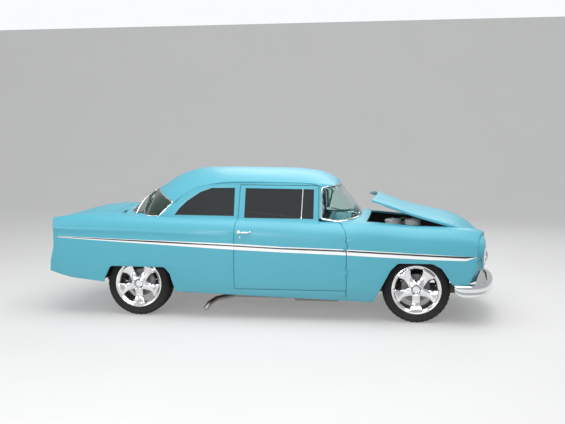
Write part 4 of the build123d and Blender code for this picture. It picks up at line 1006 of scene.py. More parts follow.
def mouthLine(inset, count=14):  # rounded rectangle in (y, z)
    half, low, high = mouth["half"] - inset, mouth["low"] + inset, mouth["high"] - inset
    corner = mouth["corner"] - inset
    points = []
    for cy, cz, first in ((half - corner, high - corner, 0), (corner - half, high - corner, 90),
                          (corner - half, low + corner, 180), (half - corner, low + corner, 270)):
        for step in range(count + 1):
            angle = radians(first + 90 * step / count)
            points.append((cy + corner * cos(angle), cz + corner * sin(angle)))
    return points


def noseLoop(outline, outside):
    loop = []
    for (ya, za), (yb, zb) in zip(outline, outline[1:] + outline[:1]):
        pieces = max(1, int(abs(yb - ya) / 0.04))
        for t in [step / pieces for step in range(pieces)]:
            y = ya + (yb - ya) * t
            loop.append((noseX(y, outside), y, za + (zb - za) * t))
    return loop


def noseBar(name, half, z, outside, radius, sides):  # straight from the front, bowed in plan
    ys = [-half + 2 * half * k / 40 for k in range(41)]
    return tubePiece(name, [(noseX(y, outside), y, z) for y in ys], radius, sides, smooth=False)


surround = noseLoop(mouthLine(-0.004), -0.002)
finishPiece(tubePiece("grilleSurround", surround, 0.0105, 10, cyclic=True, smooth=False), chrome)
dressedCopy("grille", "grilleGrid", chrome, 0.0007)
finishPiece(noseBar("grilleBar", mouth["barHalf"], mouth["barZ"], 0.006, 0.0155, 12), chrome)
for sideName, side in sides:
    y = parkLamp["y"]
    lamp = turnedPiece(f"parkLamp_{sideName}", parkLamp["face"], 48)
    placeAlong(lamp, (noseX(y, 0.002), side * y, mouth["barZ"]), (1, side * 0.38, 0))
    finishPiece(softenEdges(lamp, 0.0008), lampGlass)
hoodLip = noseBar("hoodLip", mouth["lipHalf"], mouth["lipZ"], 0.0005, 0.0065, 8)
hoodLip.data.transform(hoodTurn)
finishPiece(hoodLip, chrome, "hood_set")
print("grille made")


# Gravel pan: body-coloured sheet that closes the space between fender edges, nose panel and bumper
gravelPan = {
    "middle": 0.72, "bulge": 0.010, "topZ": 0.565, "lowZ": 0.426, "lowBack": 0.034,
    "cornerTop": Vector((2.186, 0.662, 0.585)), "underLamp": Vector((2.150, 0.72, 0.668)),
    "outerTop": Vector((2.106, 0.924, 0.668)), "cornerLow": Vector((2.150, 0.662, 0.426)),
    "outerLow": Vector((2.000, 0.924, 0.432)),
}


def panShape(u, v):
    g = gravelPan
    side, across = (1, 1 - u * 2) if u <= 0.5 else (-1, u * 2 - 1)
    if across > g["middle"]:  # outer part, under the headlamp
        w = (across - g["middle"]) / (1 - g["middle"])
        top = g["cornerTop"].lerp(g["underLamp"], min(1, w * 3))
        if w > 1 / 3:
            top = g["underLamp"].lerp(g["outerTop"], (w - 1 / 3) * 1.5)
        low = g["cornerLow"].lerp(g["outerLow"], w ** 1.3)
    else:
        y = g["cornerLow"].y * across / g["middle"]
        top = Vector((noseX(y, -0.012), y, g["topZ"] + 0.020 * max(0, across - 0.66) / 0.06))
        low = Vector((noseX(y, -0.012) - g["lowBack"], y, g["lowZ"]))
    point = low.lerp(top, v)
    return (point.x + g["bulge"] * sin(pi * v), side * point.y, point.z)


pan = thicken(mendNormals(gridPiece("gravelPan", 120, 14, panShape)), 0.003)
finishPiece(smoothBy(pan, 40), bodyPaint)
print("gravel pan made")


# Solids under the car and in the engine bay that keep their own form, each with its finish and edge radius
underParts = {
    "floor_pan": (chassisBlack, 0.002), "inner_fenders": (chassisBlack, 0.002),
    "frame": (chassisBlack, 0.003),
    "rear_axle": (ironBare, 0.003), "front_suspension": (ironBare, 0.003), "knuckle_left": (ironBare, 0.002),
    "knuckle_right": (ironBare, 0.002), "drive_shaft": (chassisBlack, 0.002),
    "fuel_tank": (chassisBlack, 0.004),
    "exhaust": (exhaustSteel, 0.001), "engine": (blockPaint, 0.004),
    "radiator": (blockPaint, 0.003, "under_paint"),
}
for node, look in underParts.items():
    dressedCopy(node, node + "Dressed", *look)
print("chassis dressed")


# Coil springs, leaf packs with their U-bolts, tank straps and the brake line round the axles
running = {"frontX": 1.506, "rearX": -1.428, "springY": 0.52, "coilRadius": 0.056, "coilTurns": 6,
           "coilLow": 0.250,
           "coilHigh": 0.455, "leafY": 0.507, "leafLow": 0.300, "strapY": 0.20, "strapX": (-2.017, -1.653)}
for sideName, side in sides:
    steps, radius, low = running["coilTurns"] * 12, running["coilRadius"], running["coilLow"]
    coil = [(running["frontX"] + radius * cos(2 * pi * k / 12),
             side * running["springY"] + radius * sin(2 * pi * k / 12),
             low + (running["coilHigh"] - low) * k / steps) for k in range(steps + 1)]
    finishPiece(tubePiece(f"coilSpring_{sideName}", coil, 0.0068, 6, smooth=False), chassisBlack)
    x, y = running["rearX"], side * running["leafY"]
    leaves = []
    for half, drop in ((0.40, 0.011), (0.30, 0.021), (0.20, 0.031)):
        z = running["leafLow"] - drop
        leaves.append(blockPiece("leaf", (x - half, y - 0.028, z), (x + half * 0.9, y + 0.028, z + 0.009),
                                 0.002, 2))
    for boltX in (x - 0.052, x + 0.052):
        leaves.append(tubePiece("uBolt", [(boltX, y + out, z) for out, z in (
            (-0.036, 0.252), (-0.036, 0.375), (-0.030, 0.393), (0, 0.3985), (0.030, 0.393), (0.036, 0.375),
            (0.036, 0.252))], 0.0055, 8))
    leaves.append(blockPiece("springPlate", (x - 0.075, y - 0.048, 0.258), (x + 0.075, y + 0.048, 0.268),
                             0.003, 2))
    finishGroup(f"leafPack_{sideName}", leaves, ironBare)
    y = side * running["strapY"]
    straps = [blockPiece("strapEnd", (x - 0.002, y - 0.02, 0.262), (x + 0.002, y + 0.02, 0.505), 0.001, 2)
              for x in running["strapX"]]
    straps.append(blockPiece("strapLow", (-2.015, y - 0.02, 0.2165), (-1.655, y + 0.02, 0.2205), 0.001, 2))
    finishGroup(f"tankStrap_{sideName}", straps, ironBare)
brakeLine = [(-1.39, -0.45, 0.392), (-1.39, -0.2, 0.398), (-1.39, 0.05, 0.402), (-1.36, 0.10, 0.44),
             (-1.33, 0.13, 0.45), (-1.39, 0.25, 0.397), (-1.39, 0.45, 0.392)]
finishPiece(tubePiece("brakeLine", brakeLine, 0.004, 6), exhaustSteel)
print("running gear made")


# Engine dress: air cleaners, valve covers, fan, drive belt, hoses and wires
# white diffuse finish for the chrome air cleaners: painted sunlight reflection, so the cans stay bright in
# the hood's shade
paintedSunlitPan = makeFinish("paintedSunlitWhite", "polished_metal", (0.97, 0.97, 0.96), (0.92, 0.92, 0.92), 0.4, 16, 0.3,
                       0.08,
                       (300, 0.03), Metallic=0.0, Coat_Weight=0.8, Coat_Roughness=0.08)
engineDress = {
    "cleanerX": (1.298, 1.523), "cleanerLow": 0.924, "headX": 1.345, "headY": 0.205, "headZ": 0.700,
    "headTilt": 40,
    "coverLow": 0.095, "portX": 1.125, "portStep": 0.147, "distributorX": 1.065, "fan": (1.778, 0, 0.610),
    "cleaner": [(0, 0.003), (0.060, 0.003), (0.084, 0.006), (0.0925, 0.013), (0.0935, 0.020),
                (0.0905, 0.0225),
                (0.0885, 0.025), (0.0885, 0.047), (0.0905, 0.0495), (0.0935, 0.052), (0.0930, 0.058),
                (0.0875, 0.066), (0.074, 0.0715), (0.058, 0.0735), (0.054, 0.0715), (0.050, 0.0735),
                (0.030, 0.0755), (0, 0.0757)],
}
# air cleaners take the white finish that paints in their sunlight reflection
for number, x in enumerate(engineDress["cleanerX"]):
    low = engineDress["cleanerLow"]
    pan = shift(turnedPiece(f"airCleaner{number}", engineDress["cleaner"], 72), x, 0, low)
    finishPiece(softenEdges(pan, 0.0006, 2), paintedSunlitPan, stands=["air_cleaners"])
    wings = [shift(turnedPiece("wingNut", [(0, 0.075), (0.008, 0.075), (0.0075, 0.082), (0.004, 0.0865),
                                           (0, 0.087)], 16), x, 0, low)]
    for way in (-1, 1):
        wings.append(tubePiece("wing", [(x, way * out, low + up) for out, up in (
            (0, 0.077), (0.009, 0.081), (0.013, 0.090), (0.008, 0.091), (0.004, 0.083))], 0.0021, 6))
    finishGroup(f"wingNut{number}", wings, chrome)
braces = [tubePiece("cleanerLink", [(1.372, -0.035, 1.001), (1.385, -0.030, 1.010), (1.41, 0.0, 1.013),
                                    (1.436, 0.030, 1.010), (1.450, 0.035, 1.001)], 0.005, 8)]
for y in (-0.022, 0.022):
    braces.append(tubePiece("linkage",
                            [(1.330, y, 0.912), (1.385, y, 0.930), (1.41, y, 0.956), (1.436, y, 0.930),
                                        (1.49, y, 0.912)], 0.004, 8))
braces.append(shift(turnedPiece("regulator", [(0, 0.928), (0.016, 0.928), (0.018, 0.935), (0.018, 0.962),
                                              (0.014, 0.970), (0.006, 0.973), (0, 0.973)], 28), 1.41, 0, 0))
finishGroup("fuelLinkage", braces, chrome)

for sideName, side in sides:
    base = engineDress["coverLow"]
    parts = [blockPiece("cover", (-0.272, -0.056, base - 0.002), (0.272, 0.056, base + 0.048), 0.016, 4)]
    for y in [-0.034 + 0.017 * number for number in range(5)]:
        parts.append(blockPiece("fin", (-0.225, y - 0.0028, base + 0.044), (0.225, y + 0.0028, base + 0.053),
                                0.0018, 2))
    for x in (-0.24, -0.08, 0.08, 0.24):
        for y in (-0.063, 0.063):
            parts.append(shift(turnedPiece("coverBolt", [(0, -0.001), (0.009, -0.001), (0.009, 0.006),
                                                         (0.0065, 0.008), (0, 0.008)], 6), x, y, base))
    parts.append(shift(turnedPiece("oilCap", [(0, 0.046), (0.024, 0.046), (0.026, 0.052), (0.026, 0.066),
                                              (0.021, 0.072), (0, 0.073)], 32), side * -0.20, 0, base))
    cover = joinPieces(f"valveCover_{sideName}", parts)
    cover.data.transform(
        Matrix.Translation((engineDress["headX"], side * engineDress["headY"], engineDress["headZ"]))
        @ Matrix.Rotation(-side * radians(engineDress["headTilt"]), 4, "X"))
    finishPiece(softenEdges(cover, 0, smooth=35), alloy)
    plugs, manifold = [], []
    for number in range(4):
        x = engineDress["portX"] + number * engineDress["portStep"]
        plugs.append(tubePiece("plugWire", [(x, side * 0.300, 0.700), (x + 0.01, side * 0.358, 0.732),
                                            (x - 0.01, side * 0.352, 0.800), (x - 0.05, side * 0.300, 0.862),
                                            (1.10 + number * 0.012, side * 0.16, 0.862),
                                            (1.07 + number * 0.008, side * 0.06, 0.862)], 0.004, 6))
        manifold.append(tubePiece("port", [(x, side * 0.262, 0.652), (x - 0.005, side * 0.315, 0.640),
                                           (x - 0.02, side * 0.335, 0.615), (x - 0.05, side * 0.335, 0.596)],
                                           0.019, 10))
    finishGroup(f"plugWires_{sideName}", plugs, redPaint)
    finishGroup(f"manifold_{sideName}", manifold, exhaustSteel)

x = engineDress["distributorX"]
towers = [shift(turnedPiece("distributor", [
    (0, 0.80), (0.026, 0.80), (0.026, 0.828), (0.040, 0.832), (0.043, 0.842), (0.043, 0.862), (0.036, 0.876),
    (0.018, 0.884), (0, 0.885)], 36), x, 0, 0)]
for angle in [2 * pi * number / 8 for number in range(8)]:
    tower = turnedPiece("tower", [(0, 0.868), (0.0065, 0.868), (0.006, 0.888), (0, 0.889)], 12)
    towers.append(shift(tower, x + 0.028 * cos(angle), 0.028 * sin(angle), 0))
finishGroup("distributor", towers, blackPlastic, soft=0.0008)


def fanShape(u, v):
    return (0.020 * (v - 0.5) * (1.2 - 0.3 * u) + 0.004 * sin(pi * v), (0.052 + 0.030 * u) * (v - 0.5),
            0.045 + 0.150 * u)


x, y, z = engineDress["fan"]
fanParts = []
for number in range(5):
    blade = thicken(gridPiece("fanBlade", 10, 14, fanShape), 0.0022, 0)
    blade.data.transform(Matrix.Translation((x, y, z)) @ Matrix.Rotation(2 * pi * number / 5, 4, "X"))
    fanParts.append(blade)
fanParts.append(placeAlong(turnedPiece("fanHub",
                                       [(0, 0), (0.060, 0), (0.060, 0.010), (0.048, 0.014), (0.030, 0.024),
                                                  (0.026, 0.034), (0, 0.035)], 36), (x - 0.035, y, z),
                                                  (1, 0, 0)))
finishGroup("coolingFan", fanParts, alloy, soft=0)
crankTurn = [(0.075, 0.45, pi + pi * k / 12) for k in range(13)]
pumpTurn = [(0.215, 0.61, pi * k / 16) for k in range(17)]
belt = [(1.716, radius * cos(angle), z + radius * sin(angle)) for radius, z, angle in crankTurn + pumpTurn]
finishPiece(tubePiece("driveBelt", belt, 0.0052, 6, cyclic=True, smooth=False), rubber)

hoses = {
    "upperHose": (0.022, [(1.60, -0.03, 0.792), (1.66, -0.04, 0.836), (1.74, -0.10, 0.850),
                          (1.79, -0.18, 0.838),
                          (1.824, -0.20, 0.828)]),
    "lowerHose": (0.022, [(1.70, 0.20, 0.46), (1.76, 0.24, 0.42), (1.80, 0.26, 0.41), (1.832, 0.26, 0.41)]),
    "heaterHose": (0.011, [(0.90, -0.26, 0.86), (0.97, -0.28, 0.90), (1.08, -0.27, 0.905),
                           (1.22, -0.24, 0.885),
                           (1.40, -0.20, 0.850), (1.55, -0.12, 0.815), (1.58, -0.07, 0.800)]),
    "heaterReturn": (0.011, [(0.90, -0.31, 0.84), (0.98, -0.33, 0.885), (1.10, -0.325, 0.89),
                             (1.26, -0.29, 0.870),
                             (1.44, -0.24, 0.838), (1.58, -0.14, 0.800), (1.60, -0.09, 0.79)]),
}
for label, (radius, points) in hoses.items():
    finishPiece(tubePiece(label, points, radius, 12), rubber)
clampPlaces = [((1.812, -0.196, 0.831), (1, -0.3, -0.2)), ((1.822, 0.26, 0.41), (1, 0, 0)),
               ((1.63, -0.035, 0.815), (1, 0, 0.7))]
clampLine = [(0.0222, -0.006), (0.0242, -0.005), (0.0242, 0.005), (0.0222, 0.006)]
finishGroup("hoseClamps", [placeAlong(turnedPiece("hoseClamp", clampLine, 30), place, way)
                           for place, way in clampPlaces], chrome)

radiatorTop = {"cap": (1.855, 0.162), "faces": ((1.8296, -1), (1.8804, 1)), "half": 0.322, "low": 0.398,
               "height": 0.396, "fins": 66}
x, y = radiatorTop["cap"]
neck = blockPiece("radiatorCap", (x - 0.014, y - 0.014, 0.848), (x + 0.014, y + 0.014, 0.856), 0.003)
cap = turnedPiece("pressureCap", [(0, 0.852), (0.026, 0.852), (0.028, 0.857), (0.028, 0.864), (0.020, 0.869),
                                  (0, 0.871)], 30)
finishGroup("radiatorCap", [neck, shift(cap, x, y, 0)], chrome)
cores = []
for face, out in radiatorTop["faces"]:
    def coreShape(u, v):
        fold = 1 - abs(((u * radiatorTop["fins"]) % 1) * 2 - 1)
        return (face + out * (0.0008 + 0.0022 * fold), radiatorTop["half"] * (2 * u - 1),
                radiatorTop["low"] + radiatorTop["height"] * v)

    cores.append(gridPiece("radiatorCore", 2 * radiatorTop["fins"], 2, coreShape))
finishGroup("radiatorCore", cores, radiatorCore)
print("engine dressed")


# Fire wall and engine bay: heater box, brake cylinder, wiper motor, coil, battery and red fittings
bay = {"wall": 0.827, "boosterY": 0.36, "boosterZ": 0.78, "batteryLow": (1.640, -0.625, 0.7555),
       "batteryHigh": (1.790, -0.475, 0.9455), "postX": 1.72}
wall = bay["wall"]


def wallMatShape(u, v):
    quilt = abs(sin(u * pi * 20)) * abs(sin(v * pi * 8))
    return (wall + 0.003 + 0.002 * quilt, -0.62 + 1.24 * u, 0.52 + 0.42 * v)


mat = thicken(gridPiece("firewallMat", 40, 16, wallMatShape), 0.002)
finishPiece(smoothAll(mat), blackPlastic, slot="under_paint")
heater = [blockPiece("heaterCase", (wall, -0.44, 0.700), (wall + 0.125, -0.14, 0.900), 0.022, 4)]
for y in (-0.38, -0.29, -0.20):
    heater.append(blockPiece("heaterRib", (wall + 0.118, y - 0.006, 0.715), (wall + 0.130, y + 0.006, 0.885),
                             0.003, 2))
finishGroup("heaterCase", heater, blackPlastic, slot="under_paint")
blower = turnedPiece("blowerMotor", [(0, 0), (0.062, 0), (0.062, 0.008), (0.046, 0.012), (0.046, 0.070),
                                     (0.038, 0.082), (0, 0.086)], 40)
finishPiece(softenEdges(placeAlong(blower, (wall + 0.001, -0.52, 0.80), (1, 0, 0)), 0.001), castMetal)
y, z = bay["boosterY"], bay["boosterZ"]
booster = turnedPiece("booster",
                      [(0, 0), (0.070, 0), (0.094, 0.006), (0.098, 0.016), (0.098, 0.026), (0.092, 0.036),
                                  (0.060, 0.056), (0.030, 0.062), (0, 0.063)], 48)
master = turnedPiece("master", [(0, 0.060), (0.021, 0.060), (0.021, 0.165), (0.017, 0.172), (0, 0.174)], 30)
reservoir = blockPiece("reservoir", (wall + 0.075, y - 0.035, 0.793), (wall + 0.165, y + 0.035, 0.840), 0.010)
finishGroup("brakeBooster", [placeAlong(booster, (wall + 0.001, y, z), (1, 0, 0)),
                             placeAlong(master, (wall, y, z), (1, 0, 0)), reservoir], exhaustSteel, soft=0)
redBits = []
for x in (wall + 0.095, wall + 0.143):
    redBits.append(shift(turnedPiece("fluidCap", [(0, 0.838), (0.017, 0.838), (0.017, 0.851), (0.013, 0.855),
                                                  (0, 0.856)], 24), x, y, 0))
redBits.append(tubePiece("batteryCable", [(1.72, -0.51, 0.955), (1.70, -0.51, 0.972), (1.62, -0.47, 0.900),
                                          (1.40, -0.42, 0.838), (1.15, -0.43, 0.842), (0.96, -0.46, 0.862),
                                          (0.90, -0.52, 0.850)], 0.0058, 8))
redBits.append(blockPiece("fuseLink", (0.846, -0.105, 0.868), (0.884, -0.055, 0.902), 0.006))
redBits.append(tubePiece("redHarness", [(0.87, -0.09, 0.90), (0.93, -0.07, 0.93), (1.02, -0.02, 0.92),
                                        (1.06, 0.0, 0.895)], 0.005, 8))
finishGroup("redFittings", redBits, redPaint, soft=0)
coil = turnedPiece("ignitionCoil", [(0, 0), (0.027, 0), (0.027, 0.105), (0.024, 0.110), (0.018, 0.112),
                                    (0.011, 0.124), (0.010, 0.136), (0, 0.137)], 32)
finishPiece(softenEdges(placeAlong(coil, (0.846, 0.10, 0.830), (0, 0.94, 0.34)), 0.0008), chrome)
gearCase = blockPiece("wiperMotor", (wall, -0.030, 0.770), (wall + 0.070, 0.060, 0.850), 0.014)
drum = turnedPiece("wiperDrum", [(0, 0), (0.032, 0), (0.032, 0.095), (0.026, 0.103), (0, 0.104)], 32)
finishGroup("wiperMotor", [gearCase, placeAlong(drum, (wall + 0.036, 0.045, 0.812), (0, 1, 0))], castMetal)

lowX, lowY, lowZ = bay["batteryLow"]
highX, highY, highZ = bay["batteryHigh"]
battery = [blockPiece("batteryCase", bay["batteryLow"], bay["batteryHigh"], 0.007)]
for number in range(6):
    cap = turnedPiece("cellCap", [(0, 0), (0.009, 0), (0.009, 0.007), (0.006, 0.009), (0, 0.009)], 18)
    battery.append(shift(cap, lowX + 0.020 + 0.022 * number, (lowY + highY) / 2, highZ - 0.001))
for x in [lowX + 0.012 + 0.021 * number for number in range(7)]:
    battery.append(blockPiece("caseRib", (x - 0.0025, lowY - 0.0025, lowZ + 0.015),
                              (x + 0.0025, highY + 0.0025, highZ - 0.025), 0.001, 2))
finishGroup("battery", battery, blackPlastic)
back, under, front, inside = lowX - 0.010, lowZ - 0.010, highX + 0.010, highY + 0.010
tray = blockPiece("batteryTray", (back, lowY - 0.022, under), (front, inside, lowZ - 0.0005), 0.002)
traySide = blockPiece("traySide", (back, highY + 0.004, under), (front, inside, lowZ + 0.030), 0.002)
finishGroup("batteryTray", [tray, traySide], chassisBlack)
posts = []
for y in (highY - 0.035, lowY + 0.035):
    post = turnedPiece("terminal", [(0, 0), (0.010, 0), (0.009, 0.014), (0, 0.015)], 18)
    posts.append(shift(post, bay["postX"], y, highZ - 0.001))
finishGroup("batteryPosts", posts, chrome)
print("engine bay made")


# Hood underside: folded rim and stiffening ribs, laid on the panel's own underside
hoodTree = treeOf("hood")
hoodUp = (hoodTurn.to_3x3() @ Vector((0, 0, 1))).normalized()
hoodRibs = {  # width and line of each, in the plan of the shut hood
    "hoodRimRight": (0.026, [(1.10, -0.705), (1.35, -0.705), (1.65, -0.700), (1.80, -0.690)]),
    "hoodRimLeft": (0.026, [(1.10, 0.705), (1.35, 0.705), (1.65, 0.700), (1.80, 0.690)]),
    "hoodRimRear": (0.026, [(1.058, -0.66), (1.086, -0.40), (1.100, 0.0), (1.086, 0.40), (1.058, 0.66)]),
    "hoodRibRight": (0.034, [(1.07, -0.50), (1.35, -0.48), (1.62, -0.44), (1.86, -0.40)]),
    "hoodRibLeft": (0.034, [(1.07, 0.50), (1.35, 0.48), (1.62, 0.44), (1.86, 0.40)]),
}
ribSteps, ribDepth = 40, 0.012


def underHood(x, y):  # point of the raised panel's underside over a plan place of the shut hood
    return hoodTree.ray_cast(hoodTurn @ Vector((x, y, 0.55)), hoodUp)[0]


for label, (width, line) in hoodRibs.items():
    path = evenPath([Vector((x, y, 0)) for x, y in line], ribSteps)

    def ribShape(u, v):
        i = int(round(u * ribSteps))
        way, middle = wayAt(path, i), path[i]
        point = middle + Vector((-way.y, way.x, 0)) * (v - 0.5) * 2 * width
        hit = underHood(*point.xy) or underHood(*middle.xy) or hoodTurn @ Vector((*middle.xy, 0.98))
        drop = ribDepth * min(1.0, min(v, 1 - v) / 0.22) * min(1.0, min(u, 1 - u) / 0.04)
        return hit - hoodUp * (0.0008 + drop)

    rib = mendNormals(gridPiece(label, ribSteps, 9, ribShape))
    finishPiece(smoothBy(rib, 40), innerPaint, "hood_set")
print("hood ribs made")


# Padded benches: each pad is blown up by the cloth solver, then its seams and channels are pressed in
benches = {
    "front_seat": {"x": -0.150, "depth": 0.520, "width": 1.26, "high": 0.540, "lean": 14},
    "rear_seat": {"x": -0.860, "depth": 0.460, "width": 1.24, "high": 0.520, "lean": 16},
}
padding = {"voxel": 0.016, "pressure": 4.0, "cap": 0.022, "inset": 0.016, "frames": 20, "channel": 0.088,
           "press": 0.009, "border": 0.075}
clothValues = {"quality": 4, "mass": 0.3, "tension_stiffness": 20, "compression_stiffness": 20,
               "bending_stiffness": 0.6, "use_pressure": True, "uniform_pressure_force": padding["pressure"]}


def blowUp(obj):  # cloth pressure from frame 1 on, kept within a cap
    rest = [vertex.co.copy() for vertex in obj.data.vertices]
    activate(obj)
    cloth = obj.modifiers.new("Cloth", "CLOTH")
    for key, value in clothValues.items():
        setattr(cloth.settings, key, value)
    cloth.settings.effector_weights.gravity = 0
    cloth.collision_settings.use_collision = False
    for number in range(1, padding["frames"] + 1):
        scene.frame_set(number)
    bpy.ops.object.modifier_apply(modifier="Cloth")
    for vertex, start in zip(obj.data.vertices, rest):
        move = vertex.co - start
        if move.length > padding["cap"]:
            vertex.co = start + move * (padding["cap"] / move.length)
    scene.frame_set(1)


def paddedPiece(name, low, high, bevel):
    gap = padding["inset"]
    pad = blockPiece(name, [v + gap for v in low], [v - gap for v in high], bevel, 4)
    useModifier(pad, "REMESH", mode="VOXEL", voxel_size=padding["voxel"])
    blowUp(pad)
    for vertex in pad.data.vertices:
        vertex.co = [min(max(v, a), b) for v, a, b in zip(vertex.co, low, high)]
    useModifier(pad, "SMOOTH", factor=0.5, iterations=3)
    useModifier(pad, "SUBSURF", levels=1)
    return smoothAll(pad)


def insideBorder(place, across, low, high):  # distance of a place from the sewn border of a pad's face
    a, b = place[across], place[1]
    return min(a - low[across], high[across] - a, b - low[1], high[1] - b) - padding["border"]


# lengthwise channels on one face, with a sewn border round them
def pressSeams(obj, face, across, low, high):
    press, channel = padding["press"], padding["channel"]
    outwards = [vertex.normal[face] for vertex in obj.data.vertices]
    for vertex, outward in zip(obj.data.vertices, outwards):
        if outward < 0.35:
            continue
        fromEdge = insideBorder(vertex.co, across, low, high)
        depth = press * max(0.0, 1 - abs(fromEdge) / 0.012) ** 1.5
        if fromEdge > 0:
            phase = abs(((vertex.co.y / channel + 0.5) % 1) - 0.5) * channel
            depth += press * max(0.0, 1 - phase / 0.014) ** 1.5 * min(1, fromEdge / 0.02)
        vertex.co[face] -= depth * outward


# vinyl, with the channelled middle in the second colour
def coverPad(obj, face, across, low, high, stands=()):
    pressSeams(obj, face, across, low, high)
    finishPiece(obj, seatVinyl, stands=stands)
    obj.data.materials.append(seatAccent)
    for polygon in obj.data.polygons:
        inside = insideBorder(polygon.center, across, low, high) > 0
        polygon.material_index = 1 if inside and polygon.normal[face] > 0.35 else 0


for node, seat in benches.items():
    x, half, depth = seat["x"], seat["width"] / 2, seat["depth"]
    low, high = (x + 0.086, -half, 0.448), (x + depth - 0.002, half, 0.562)
    cushion = paddedPiece(f"{node}Cushion", low, high, 0.034)
    coverPad(cushion, 2, 0, low, high, [node])
    rear, front = low[0], high[0]
    low, high = (-0.063, -half, 0.002), (0.063, half, seat["high"] - 0.042)
    back = paddedPiece(f"{node}Back", low, high, 0.040)
    coverPad(back, 0, 2, low, high)
    back.data.transform(Matrix.Translation((x + 0.020, 0, 0.454)) @ Matrix.Rotation(-radians(seat["lean"]), 4,
                                                                                    "Y"))
    pipeZ, pipeY, corner = 0.540, half - 0.010, front - 0.05
    piping = ([(rear + 0.04, -pipeY, pipeZ), (corner, -pipeY, pipeZ)]
              + [(front - 0.008, -half + 0.05 + (2 * half - 0.10) * k / 24, pipeZ) for k in range(25)]
              + [(corner, pipeY, pipeZ), (rear + 0.04, pipeY, pipeZ)])
    finishPiece(tubePiece(f"{node}Piping", piping, 0.0042, 8), seatAccent)
    bases, trims = [], []
    for side in (-1, 1):
        near, far = sorted((side * 0.136, side * (half - 0.060)))
        y = side * (half - 0.059)
        bases.append(blockPiece("seatBase", (x + 0.042, near, 0.3125), (x + depth - 0.062, far, 0.447),
                                0.010))
        trims.append(blockPiece("seatTrim", (x + 0.05, y - 0.003, 0.400),
                                (x + depth - 0.07, y + 0.003, 0.438),
                                0.002, 2))
    finishGroup(f"{node}Base", bases, seatVinyl)
    finishGroup(f"{node}Trim", trims, chrome)
print("seats made")


# Carpet over the floor and tunnel, and a ribbed mat for each front place
carpetArea = {"x": (-0.945, 0.770), "y": (-0.735, 0.735), "lift": 0.004, "highest": 0.46, "openFloor": 0.304}
footMat = {"x": (0.400, 0.740), "y": (0.19, 0.60), "z": (0.3095, 0.3135), "ribs": 14, "ribStep": 0.027}
floorTree = treeOf("floor_pan")


def floorHit(x, y):
    hit = floorTree.ray_cast(Vector((x, y, 0.9)), Vector((0, 0, -1)))[0]
    return hit.z if hit is not None and hit.z < carpetArea["highest"] else carpetArea["openFloor"]


def carpetShape(u, v):
    x, y = (low + (high - low) * share for (low, high), share in ((carpetArea["x"], u), (carpetArea["y"], v)))
    return (x, y, max(floorHit(x, y + d) for d in (-0.012, 0, 0.012)) + carpetArea["lift"])


finishPiece(smoothBy(thicken(gridPiece("floorCarpet", 86, 98, carpetShape), 0.003), 60), carpet)
for sideName, side in sides:
    (back, front), (low, high) = footMat["x"], footMat["z"]
    near, far = sorted(side * y for y in footMat["y"])
    ribbed = [blockPiece("footMat", (back, near, low), (front, far, high), 0.0015, 2)]
    for y in [near + 0.03 + number * footMat["ribStep"] for number in range(footMat["ribs"])]:
        ribbed.append(blockPiece("matRib", (back + 0.025, y - 0.004, high - 0.0005),
                                 (front - 0.025, y + 0.004, high + 0.003), 0.0012, 2))
    finishGroup(f"footMat_{sideName}", ribbed, rubber)
print("carpet made")


